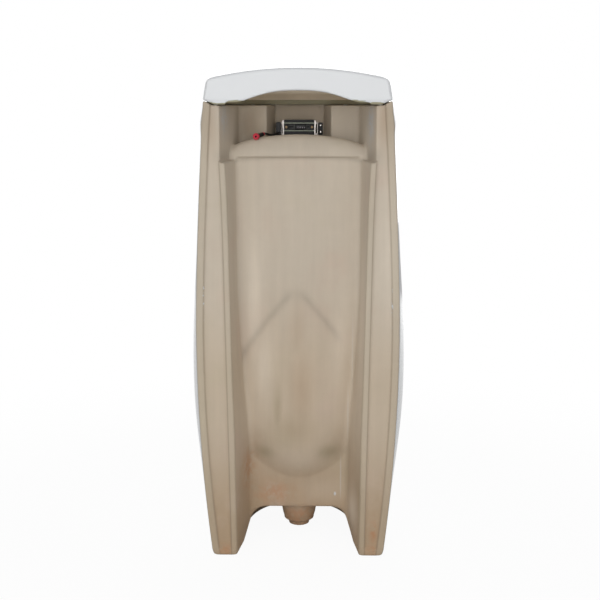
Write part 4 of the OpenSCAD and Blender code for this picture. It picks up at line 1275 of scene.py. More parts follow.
# Spots of each mark as x, depth, height, width, height of the spot, strength and depth spread: real
# stains together with painted light and painted shade.
STAINS_AND_PAINTED_LIGHT = {
    Mark.RUST: (
        (102, 66, 166, 14, 42, 1.0, 40), (52, 101, 102, 40, 24, 0.75),
        (154, 4, 12, 16, 12, 0.8), (-154, 4, 12, 16, 12, 0.8), (-156, 4, 52, 7, 24, 1.0),
        (0, 140, 46, 44, 30, 0.9, 60),
    ),
    Mark.BROWN: (
        (2, 60, 470, 17, 60, 0.6), (-6, 50, 350, 26, 90, 0.8), (0, 60, 260, 40, 50, 0.4),
        (0, 147, 40, 40, 36, 1.5), (172, 4, 890, 20, 60, 0.5), (-172, 4, 900, 20, 60, 0.8),
        (0, 206, 930, 60, 40, 0.5), (100, 128, 884, 24, 40, 0.65),
    ),
    # Painted light: paler patches on the panel, the bulge, its underside and the wings, where the
    # lamps leave the skin too dark.
    Mark.PAINTED_LIGHT: (
        (94, 70, 520, 20, 150, 1.0), (76, 60, 410, 20, 80, 1.0),
        (-94, 74, 500, 18, 110, 0.3), (-128, 36, 480, 16, 170, 0.8, 45),
        (-184, 4, 640, 22, 130, 0.6), (-85, 72, 430, 20, 90, 0.6),
        (-60, 96, 110, 60, 30, 0.3), (0, 80, 190, 80, 40, 0.4),
        (-117, 60, 84, 14, 45, 0.9, 45), (-112, 58, 400, 5, 90, 0.7, 24),
    ),
    Mark.DULL: (
        (0, 70, 846, 150, 18, 0.35, 40), (185, 4, 905, 30, 60, 0.35),
        (-185, 4, 905, 30, 60, 0.25), (108, 126, 878, 28, 44, 1.0),
        (-108, 126, 865, 22, 30, 0.3), (150, 60, 880, 16, 50, 0.5, 40),
        (-146, 40, 745, 14, 110, 0.5, 40), (146, 40, 745, 14, 110, 0.3, 40),
        (0, 147, 30, 34, 18, 0.9, 60),
    ),
    Mark.SPRAY: (
        (148, 34, 905, 14, 30, 0.9, 22), (-146, 44, 893, 14, 40, 1.0, 24),
    ),
    # Greenish tint; the two strong spots under the lower corners of the bulge are painted shade.
    Mark.OLIVE_AND_SHADE: (
        (44, 50, 302, 10, 52, 0.6), (74, 68, 198, 22, 16, 1.0), (-66, 68, 200, 26, 17, 1.0),
        (20, 60, 250, 50, 40, 0.4), (-120, 4, 150, 12, 90, 0.3),
    ),
}


@dataclass(frozen=True)
class ChinaLid:
    """The lift-off lid."""

    form: ChinaForm = ChinaForm()
    top: float = 1000
    crown: float = 19
    wall: float = 11
    arch: float = 23
    pad_t: float = 1.5
    pivot_d: float = 50
    trial: Grade = Grade(3.0, 3, 30_000)
    full: Grade = Grade(1.5, 6, 90_000)

    @property
    def low(self) -> float:
        """Height of the lower edge of the skirt."""
        return self.form.body_top + self.pad_t

    @property
    def lip(self) -> float:
        """Height of the foot inside the rebate."""
        return self.form.seat_z + self.pad_t

    def section(self, inset: float, share: float, z: float, fall: float) -> Ring:
        """One level of the shell, drawn together by share and lowered by the crown.

        Args:
            inset: how far the outline is drawn in.
            share: scale about the pivot near the wall.
            z: height of the level.
            fall: share of the crown's fall.

        Returns:
            The ring.
        """
        f = self.form
        half = f.body_half(f.body_top, inset, min(inset, self.wall))
        rear = half[-1] * np.linspace(1, 0, 28)[1:, None]
        ring = f.ring(np.concatenate([half, columns(rear[:, 0], half[-1, 1])]), z)
        middle = f.y(self.pivot_d)
        x = ring[:, 0] * share
        drop = fall * self.crown * (x / (0.46 * f.head_w)) ** 2
        return columns(x, blend(middle, ring[:, 1], share), ring[:, 2] - drop)

    def dome(self, inset: float, low: float, top: float) -> Piece:
        """Domed solid between two heights."""
        side = spline(
            [(0, 1, 0), (0.37, 0.982, 0.1), (0.62, 0.972, 0.4), (0.83, 0.965, 0.8),
             (0.94, 0.948, 0.97), (0.985, 0.91, 1), (1, 0.8, 1)], 7,
        )
        crown = [(1, share, 1) for share in np.linspace(0.78, 0.01, 24)]
        rows = [*side, *crown]
        rings = [self.section(inset, q, low + min(1.0, h) * (top - low), c) for h, q, c in rows]
        return Bench.loft("china_lid", rings)

    def foot(self) -> Piece:
        """Foot that drops into the rebate."""
        f = self.form
        rings = [
            f.top_ring(f.raised_edge + 4, self.lip, 0.3),
            f.top_ring(0.5, self.low, 0.3),
            f.top_ring(2, self.low + 8),
        ]
        return Bench.loft("foot", rings)

    def hollow(self) -> Piece:
        """Space inside the foot."""
        f = self.form
        inset = f.raised_edge + 13
        rings = [
            f.top_ring(inset, self.lip - 1, self.wall),
            f.top_ring(inset, self.low, self.wall),
            f.top_ring(self.wall, self.low + 14),
            f.top_ring(self.wall + 4, self.low + 18, self.wall + 1),
        ]
        return Bench.loft("lid_hollow", rings)

    def notch(self) -> Piece:
        """Arch through the rear, with a low shoulder on each side."""
        half = 0.326 * self.form.head_w
        shoulder, foot, rise = half + 19, self.lip, 4
        u = np.linspace(-1, 1, 61)
        arch = columns(half * u, foot + rise + self.arch * (1 - np.abs(u) ** 2.6) ** 1.5)
        left = [(-shoulder - 3, foot - 20), (-shoulder - 3, foot - 0.5), (-shoulder, foot + rise)]
        right = [(-x, z) for x, z in reversed(left)]
        outline = np.concatenate([left, arch, right])
        return self.form.prism("notch", outline, -self.form.out, 60)

    def build(self) -> Piece:
        """Casts the lid.

        Returns:
            The finished mesh with its "bare" values.
        """
        grade = self.full
        lid = self.dome(0, self.low, self.top)
        Bench.work(lid, self.foot(), operation="UNION")
        inner = self.dome(self.wall, self.low + 14, self.top - self.wall)
        Bench.work(lid, self.hollow(), inner, self.notch())
        Bench.cast(lid, grade.voxel, grade.rounds)
        Bench.thin(lid, grade.triangles)
        self.mark(lid)
        Bench.smooth(lid)
        return lid

    def mark(self, lid: Piece) -> None:
        """Stores where the lid is bare of glaze, inside and along its foot."""
        f = self.form
        x, y, z = Bench.points(lid).T
        d = f.y(y)
        inside = f.depth_in_skin(x, d, np.full(len(x), f.body_top))
        down = Bench.read(lid, "normal")[:, 2] < 0.25
        deep = (inside > 8) & (d > 5) & (down | (z < self.low + 20))
        across = np.abs(x)
        wave = 1.6 * np.sin(x / 7.5) * ease((across - 100) / 20)
        run = 4.5 * ease((across - 128) / 14) + wave
        foot = ease((self.low - 0.5 - run - z) / 1.2)
        Bench.store(lid, "bare", np.maximum(deep, foot))


# ---- finishes ----------------------------------------------------------------


@dataclass(frozen=True)
class BiscuitChina:
    """Bare fired china with glazed outer skin."""

    form: ChinaForm = ChinaForm()
    upper: Colour = tint(197, 185, 168)
    middle: Colour = tint(193, 177, 156)
    lower: Colour = tint(173, 150, 123)
    pinkish: Colour = tint(196, 176, 159)
    greenish: Colour = tint(184, 173, 147)
    rim: Colour = tint(178, 166, 145)
    # Colour of the painted shade along the steps of the rims.
    line: Colour = tint(128, 112, 94)
    rust: Colour = tint(178, 122, 80)
    brown: Colour = tint(170, 145, 119)
    # Colour of the painted light patches.
    pale: Colour = tint(226, 214, 197)
    spray: Colour = tint(190, 190, 190)
    # Greenish tint, also used for the painted shade under the lower corners of the bulge.
    olive: Colour = tint(138, 124, 92)
    glaze: Colour = tint(206, 208, 210)
    groove: Colour = tint(104, 98, 92)
    rear_d: Pair = (0.009, 0.006)
    border: Pair = (-0.0006, 0.0006)
    skin_d: Pair = (0.0034, 0.0042)
    sole_z: Pair = (0.0015, 0.003)
    # Beads of glaze, painted whiter as highlight too: x, height, width, height of the bead and
    # strength.
    glaze_runs_and_glints: tuple[tuple[float, float, float, float, float], ...] = (
        (-78, 102, 3, 5, 1.0), (-90, 140, 1.6, 52, 0.5),
        (-104, 290, 1.6, 70, 0.3), (-113, 430, 1.6, 80, 0.3),
    )

    def outer_border(self, z: Wire) -> Wire:
        """Distance from the middle to the inner side of the outer rim."""
        f = self.form
        drop = ((f.belly_z * MM - z) / (f.belly_z * MM)).maximum(0)
        rise = ((z - f.belly_z * MM) / ((f.body_top - f.belly_z) * MM)).maximum(0)
        half = f.rear_w / 2 * MM - drop * drop * ((f.rear_w - f.foot_w) / 2 * MM)
        return half - rise.power(1.5) * ((f.rear_w - f.head_w) / 2 * MM) - f.outer_rim * MM

    def inner_border(self, z: Wire) -> Wire:
        """Distance from the middle to the outer side of the inner rim."""
        f = self.form
        over = ((z - f.gap_z * MM) / (f.gap_run * MM)).maximum(0)
        spread = over.power(f.gap_power) * (f.gap_spread * MM)
        low = (f.leg_gap / 2 + f.inner_rim) * MM + z * f.gap_slope + spread
        high = z.step(0.818, 0.822)
        return low * (1 - high) + high * ((f.chamber_w / 2 - 6) * MM)

    def body(self, p: Paint, z: Wire) -> Wire:
        """Colour of the bare skin, darker toward the floor partly as painted shade, with its
        streaks, stains and patches of painted light and shade.
        """
        # Darker toward the floor: partly the china's own drift in colour, partly painted shade
        # where the light falls off.
        skin = p.mix(z.step(0.04, 0.3), self.lower, self.middle)
        skin = p.mix(z.step(0.35, 0.6), skin, self.upper)
        cloud = p.noise(7, 4, 0.55)
        skin = p.mix(cloud.step(0.52, 0.72) * 0.5, skin, self.pinkish)
        skin = p.mix(cloud.step(0.48, 0.3) * 0.25, skin, self.greenish)
        # Brown stains, the greenish tint with its painted shade under the bulge, and the paler
        # patches of painted light.
        for mark, share in ((Mark.BROWN, 0.75), (Mark.OLIVE_AND_SHADE, 0.7), (Mark.PAINTED_LIGHT, 0.7)):
            skin = p.mix(p.attribute(mark.value) * share, skin, getattr(self, mark.value))
        skin = p.mix(p.attribute("spray") * p.noise(90, 4, 0.7).step(0.3, 0.6), skin, self.spray)
        rust = p.attribute("rust") * p.noise(60, 4, 0.65).step(0.3, 0.62)
        return p.mix(rust * 0.7, skin, self.rust)

    def runs_and_glints(self, x: Wire, z: Wire) -> Wire:
        """Glaze runs along the right fold and a drop at the lower corner of the panel, from 0 to 1;
        they are also painted whiter, partly as painted highlight.
        """
        found = x * 0
        for middle, height, wide, high, strength in self.glaze_runs_and_glints:
            across, along = (x - middle * MM) / (wide * MM), (z - height * MM) / (high * MM)
            bead = (1 - across * across - along * along).maximum(0).power(0.5)
            found = found.maximum(bead * strength)
        return found

    def make(self) -> bpy.types.Material:
        """Builds the material."""
        p = Paint("biscuit_china")
        x, y, z = p.axes()
        depth = self.form.depth / 2 * MM - y
        skin = self.body(p, z)
        streak = p.noise(1, 3, 0.6, p.stretched((52, 52, 3)))
        wash, grain = p.noise(26, 5, 0.6), p.noise(900, 2, 0.5)
        across = abs(x)
        rear = depth.step(*self.rear_d)
        past_outer = across - self.outer_border(z)
        past_inner = self.inner_border(z) - across
        past = past_outer.step(*self.border) + past_inner.step(*self.border)
        on_rim = rear * past.minimum(1)
        skin = p.mix(on_rim * 0.4, skin, self.rim)
        # Painted shade: dark lines along the steps between the rims and the channels.
        step_shade = abs(past_outer).step(0.0026, 0.0004) * 0.5
        step_shade = step_shade + abs(past_inner).step(0.0022, 0.0004) * 0.55
        skin = p.mix(rear * step_shade * (0.35 + streak * 0.7), skin, self.line)
        tone = 0.92 + (streak - 0.5) * 0.16 + wash * 0.09 + grain * 0.04
        # Painted shade: darkens the creases beside the bulge, the foot of the vault and its
        # corners; the dull marks darken further patches.
        tone = tone - p.attribute("crease_shade") * 0.17 - p.attribute("dull") * 0.24
        skin = p.multiply(skin, tone)
        skin = p.mix(p.specks(160, 0.05) * 0.4, skin, self.groove)
        wobble = depth + (p.noise(70, 3, 0.6) - 0.5) * 0.0035
        outer = p.attribute("outer").step(0.4, 0.6)
        shell = outer * wobble.step(*self.skin_d)
        inner = (1 - outer) * (1 - p.attribute("bare").step(0.4, 0.6))
        flecks = rear * abs(past_outer).step(0.0022, 0.0008) * p.noise(160, 3, 0.6).step(0.6, 0.64)
        flecks = flecks * z.step(0.47, 0.5) * z.step(0.6, 0.57)
        glaze_runs_and_glints = self.runs_and_glints(x, z)
        glaze = ((shell + inner) * z.step(*self.sole_z)).maximum(flecks)
        glaze = glaze.maximum(glaze_runs_and_glints.step(0.75, 0.95))
        groove = outer * wobble.step(0.002, 0.003) * wobble.step(0.0045, 0.0036)
        white = p.multiply(self.glaze, 0.98 + p.noise(12, 2) * 0.04)
        colour = p.mix(groove * 0.4, skin, self.groove)
        # Painted highlight: the glaze runs and the drop at the panel's corner are whitened as well
        # as glazed and made smoother.
        colour = p.mix(glaze_runs_and_glints * 0.5, colour, white)
        colour = p.mix(glaze, colour, white)
        rough = 0.8 + (grain - 0.5) * 0.1 - glaze * 0.7 - glaze_runs_and_glints * (1 - glaze) * 0.4
        p.set(Base_Color=colour, Roughness=rough, Coat_Weight=glaze * 0.6, Coat_Roughness=0.04)
        relief = (1 - glaze) * (grain * 0.35 + wash * 0.65 - rear * step_shade)
        p.bump(relief + glaze * (1.0 + p.noise(55, 2) * 0.2), 0.0006)
        return p.material


@dataclass(frozen=True)
class GlazedChina:
    """White glaze with bare china inside."""

    glaze: Colour = tint(204, 206, 208)
    bare: Colour = tint(234, 222, 203)
    foot: Colour = tint(150, 144, 120)
    foot_z: float = 0.9376
    edge: Colour = tint(140, 146, 122)

    def make(self) -> bpy.types.Material:
        """Builds the material."""
        p = Paint("glazed_china")
        bare = p.attribute("bare")
        glaze = 1 - bare.step(0.4, 0.6)
        rind = bare.step(0.1, 0.3) * bare.step(0.75, 0.5)
        cloud, grain = p.noise(14, 3), p.noise(800, 2)
        white = p.multiply(self.glaze, 0.98 + cloud * 0.04)
        under = p.multiply(self.bare, 0.86 + cloud * 0.2 + grain * 0.05)
        rough = 0.84 - glaze * 0.72 + (cloud - 0.5) * 0.04
        low = p.axes()[2].step(self.foot_z + 0.001, self.foot_z) * (1 - glaze)
        skin = p.mix(low, p.mix(glaze, under, white), self.foot)
        p.set(Base_Color=p.mix(rind * 0.7, skin, self.edge), Roughness=rough)
        p.set(Coat_Weight=glaze * 0.6, Coat_Roughness=0.04)
        p.bump((1 - glaze) * grain * 0.5 + glaze * p.noise(50, 2) * 0.2, 0.0006)
        return p.material


@dataclass(frozen=True)
class Finish:
    """A uniform stuff with its grain, its blotches and its sheen."""

    name: str
    colour: Colour
    other: Colour
    rough: float = 0.45
    uneven: float = 0.12
    metallic: float = 0.0
    blotch: float = 40
    grain: float = 1500
    grain_depth: float = 0.00006
    brush: Point | None = None
    coat: float = 0.0

    def make(self) -> bpy.types.Material:
        """Builds the material."""
        p = Paint(self.name)
        cloud = p.noise(self.blotch, 4, 0.6)
        at = p.stretched(self.brush) if self.brush else None
        grain = p.noise(1.0 if at else self.grain, 3, 0.6, at)
        colour = p.mix(cloud.step(0.35, 0.7), self.colour, self.other)
        colour = p.multiply(colour, 0.94 + grain * 0.12)
        rough = self.rough + (cloud - 0.5) * self.uneven + (grain - 0.5) * self.uneven
        rough = rough.maximum(0.03)
        p.set(Base_Color=colour, Roughness=rough, Metallic=self.metallic, Coat_Weight=self.coat)
        p.bump(grain, self.grain_depth)
        return p.material


class Stuff(Enum):
    """The finishes of the fittings."""

    ZINC = Finish(
        "zinc_steel", tint(205, 206, 204), tint(178, 182, 178), 0.34, 0.2, 1.0, 70,
        brush=(90, 900, 900),
    )
    STAINLESS = Finish("stainless", tint(190, 190, 188), tint(168, 168, 166), 0.24, 0.12, 1.0, 60)
    BRASS = Finish("brass", tint(206, 168, 96), tint(176, 134, 66), 0.3, 0.2, 1.0, 90)
    DULL_BRASS = Finish("dull_brass", tint(172, 150, 116), tint(128, 98, 68), 0.5, 0.2, 0.3, 500)
    BRIGHT = Finish("bright_zinc", tint(246, 246, 244), tint(236, 236, 234), 0.16, 0.06, 1.0, 300)
    CHROME = Finish(
        "chrome", tint(222, 224, 226), tint(210, 212, 216), 0.07, 0.04, 1.0, 30,
        grain_depth=0.00001,
    )
    BLACK = Finish("black_plastic", tint(26, 26, 29), tint(36, 35, 37), 0.5, 0.1, blotch=50)
    SOOT = Finish("matt_black", tint(11, 11, 13), tint(17, 17, 19), 0.62, 0.1, blotch=60)
    GREY = Finish("grey_plastic", tint(46, 46, 44), tint(56, 55, 52), 0.5, 0.1, blotch=40)
    RUBBER = Finish("black_rubber", tint(30, 30, 31), tint(40, 39, 39), 0.72, 0.1, blotch=60)
    SILICONE = Finish("silicone", tint(212, 214, 210), tint(198, 202, 198), 0.5, 0.1, blotch=60)
    VINYL = Finish("black_pvc", tint(28, 28, 30), tint(38, 38, 40), 0.42, 0.1, blotch=40)
    RED = Finish("red_silicone", tint(198, 48, 68), tint(176, 38, 54), 0.46, 0.1, blotch=80)
    GLASS = Finish(
        "dark_window", tint(16, 14, 18), tint(24, 18, 22), 0.08, 0.04, blotch=30, coat=0.5
    )


@dataclass(frozen=True)
class PlatedFrame:
    """Plated sheet, bright on the folded sides and dull on the bars, with the flanges deep in the
    niche painted dark as shade.
    """

    form: ChinaForm = ChinaForm()
    # Painted shade of the flanges at the back of the niche.
    flange: Colour = tint(84, 78, 70)
    side: Colour = tint(218, 211, 206)
    bar: Colour = tint(112, 118, 104)
    stain: Colour = tint(120, 104, 92)
    side_x: Pair = (0.0306, 0.0318)
    flange_d: Pair = (0.1995, 0.2035)

    def make(self) -> bpy.types.Material:
        """Builds the material."""
        p = Paint("plated_frame")
        x, y, z = p.axes()
        depth = self.form.depth / 2 * MM - y
        outside = abs(x).step(*self.side_x)
        cloud, grain = p.noise(260, 4, 0.6), p.noise(1.0, 3, 0.6, p.stretched((900, 900, 90)))
        steel = p.mix(outside, self.bar, self.side)
        steel = p.mix(cloud.step(0.5, 0.75) * 0.55, steel, self.stain)
        # Everything at the depth of the flanges is painted dark as shade.
        steel = p.mix(depth.step(*self.flange_d), steel, self.flange)
        steel = p.multiply(steel, 0.9 + grain * 0.16)
        rough = 0.4 + (cloud - 0.5) * 0.2 + (grain - 0.5) * 0.15
        p.set(Base_Color=steel, Roughness=rough, Metallic=0.35)
        p.bump(grain, 0.00008)
        return p.material


@dataclass(frozen=True)
class TerminalParts:
    """Dark sockets with tinned pins; everything behind the sockets' faces, the insides of the holes
    and the board, is painted near black as shade.
    """

    form: ChinaForm = ChinaForm()
    dark: Colour = tint(44, 44, 41)
    # Near black painted as shade inside the holes and on the board behind them.
    board: Colour = tint(3, 3, 3)
    tin: Colour = tint(132, 126, 130)
    pin_d: float = 161.5
    board_d: float = 162.8

    def make(self) -> bpy.types.Material:
        """Builds the material."""
        p = Paint("terminal_parts")
        _, y, _ = p.axes()
        depth = self.form.depth / 2 * MM - y
        cloud, grain = p.noise(300, 3), p.noise(1600, 2)
        # Painted shade: everything deeper than the sockets' faces turns near black.
        deep = depth.step(self.board_d * MM, (self.board_d + 0.1) * MM)
        colour = p.mix(deep, self.dark, self.board)
        colour = p.multiply(colour, 0.8 + cloud * 0.4)
        pin = depth.step((self.pin_d + 0.1) * MM, self.pin_d * MM)
        rough = 0.5 - pin * 0.2 + (cloud - 0.5) * 0.2
        p.set(Base_Color=p.mix(pin, colour, self.tin), Roughness=rough, Metallic=pin * 0.7)
        p.bump(grain, 0.00005)
        return p.material


@dataclass
class Wardrobe:
    """Hands out each finish, made once."""

    made: dict[str, bpy.types.Material] = field(default_factory=dict)

    def dress(self, piece: Piece, finish: object) -> None:
        """Gives a piece or a node one finish.

        Args:
            piece: object to dress.
            finish: member of Stuff, or a finish of its own.
        """
        kind = finish.value if isinstance(finish, Stuff) else finish
        key = repr(kind)
        if key not in self.made:
            self.made[key] = kind.make()
        if not piece.material_slots:
            piece.data.materials.append(self.made[key])
        for slot in piece.material_slots:
            slot.material = self.made[key]


def dress_piece(piece: Piece, node: str, body: str, finish: object, wardrobe: Wardrobe) -> None:
    """Puts a finished piece in the place of its node.

    Args:
        piece: the new piece.
        node: node that it stands for.
        body: body that it rides on.
        finish: member of Stuff, or a finish of its own.
        wardrobe: source of the finish.
    """
    piece.name = node + "_finished"
    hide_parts(node)
    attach(piece, body)
    wardrobe.dress(piece, finish)


# ---- fittings ----------------------------------------------------------------


@dataclass(frozen=True)
class Fitting:
    """A small piece kept as the frame has it, with softened edges."""

    node: str
    body: str
    stuff: Stuff
    bevel: float

    def build(self, wardrobe: Wardrobe) -> None:
        """Makes the piece."""
        piece = Bench.copied(self.node, self.bevel)
        dress_piece(piece, self.node, self.body, self.stuff, wardrobe)


FITTINGS = (
    Fitting("fixing_block", "root", Stuff.BLACK, 0.4),
    Fitting("sensor_housing", "root", Stuff.GREY, 0.5),
    Fitting("cover_screws", "root", Stuff.DULL_BRASS, 0.2),
    Fitting("window_bezel", "root", Stuff.CHROME, 0.4),
    Fitting("sensor_window", "root", Stuff.GLASS, 0.3),
    Fitting("cable_block", "root", Stuff.BLACK, 0.5),
    Fitting("valve_body", "root", Stuff.BRASS, 0.6),
    Fitting("valve_coil", "root", Stuff.BLACK, 0.6),
    Fitting("coil_cap", "root", Stuff.ZINC, 0.3),
    Fitting("flow_screw", "flow_adjuster", Stuff.BRASS, 0.2),
    Fitting("spreader", "root", Stuff.CHROME, 0.4),
    Fitting("spreader_nut", "root", Stuff.BRASS, 0.5),
    Fitting("drain_strainer", "strainer", Stuff.STAINLESS, 0.25),
)

PLAIN = {
    "lid_pads": Stuff.SILICONE,
    "window_gasket": Stuff.RUBBER,
    "valve_plunger": Stuff.STAINLESS,
    "plunger_spring": Stuff.STAINLESS,
    "valve_diaphragm": Stuff.RUBBER,
    "inlet_filter": Stuff.STAINLESS,
    "spreader_washer": Stuff.RUBBER,
    "strainer_gasket": Stuff.RUBBER,
    "lead_connector": Stuff.VINYL,
}


@dataclass(frozen=True)
class PowerLead:
    """The short lead from the cable block to its round connector."""

    form: ChinaForm = ChinaForm()
    diameter: float = 0.0045
    route: tuple[Point, ...] = (
        (44.3, 176.6, 870), (44.3, 171, 870), (44.8, 165, 869.7), (46.2, 159, 868.9),
        (48.4, 153, 867.9), (51.2, 147, 867), (54.3, 141, 866.5), (57.5, 135, 866.5),
        (60.6, 129, 867), (63.6, 123, 867.9), (66.3, 118, 868.9), (68.5, 114, 869.7),
        (70.4, 110.5, 870), (72.6, 105, 869.2),
    )
    plug_back: Point = (72.6, 105, 869.2)
    plug_front: Point = (86, 71, 864.6)

    def seal(self) -> Piece:
        """Seal cap of the connector, drawn in over its mouth, and the ring on its neck."""
        back, front = np.array(self.plug_back), np.array(self.plug_front)
        along = (front - back) / np.linalg.norm(front - back)
        across = np.cross(along, (0, 0, 1))
        across /= np.linalg.norm(across)
        up = np.cross(across, along)
        end = float(np.linalg.norm(front - back))
        angle = np.radians(np.arange(40) * 9)
        round_ = np.cos(angle)[:, None] * across + np.sin(angle)[:, None] * up
        cap = [
            (5.06, -4.5), (6.6, -4), (6.7, -1.5), (6.6, 0), (6.2, 0.6), (5.2, 0.7), (3.2, 0.7),
            (2.2, 0.4), (2.0, -0.3), (2.2, -1.0), (3.4, -1.2), (3.55, -0.4), (3.7, 0.03),
            (5.06, 0.03),
        ]
        ring = [(3.05, 0.5), (3.9, 0.7), (4.0, 1.6), (3.9, 2.6), (3.05, 2.9)]
        made = []
        for profile, start in ((cap, end), (ring, 0.0)):
            rows = [(back + along * (start + a) + round_ * r) for r, a in profile]
            rings = [self.form.placed(row) for row in rows]
            made.append(Bench.loft("seal", [*rings, rings[0]]))
        Bench.work(made[0], made[1], operation="UNION")
        Bench.smooth(made[0], 40)
        return made[0]

    def build(self, wardrobe: Wardrobe) -> None:
        points = [Vector((x, self.form.y(d), z)) * MM for x, d, z in self.route]
        curve = bpy.data.curves.new("lead", "CURVE")
        curve.dimensions = "3D"
        curve.bevel_depth = self.diameter / 2
        curve.bevel_resolution = 5
        curve.use_fill_caps = True
        line = curve.splines.new("POLY")
        line.points.add(len(points) - 1)
        for target, point in zip(line.points, points):
            target.co = (*point, 1)
        lead = bpy.data.objects.new("lead", curve)
        bpy.context.scene.collection.objects.link(lead)
        Bench.pick(lead)
        bpy.ops.object.convert(target="MESH")
        Bench.outward(lead)
        Bench.smooth(lead, 40)
        length = sum((b - a).length for a, b in zip(points, points[1:]))
        seal = self.seal()
        dress_piece(seal, "connector_ring", "root", Stuff.RED, wardrobe)
        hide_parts("power_lead")
        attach(lead, "root")
        tuple(points[0])
        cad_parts["lead_connector"]
        wardrobe.dress(lead, Stuff.VINYL)


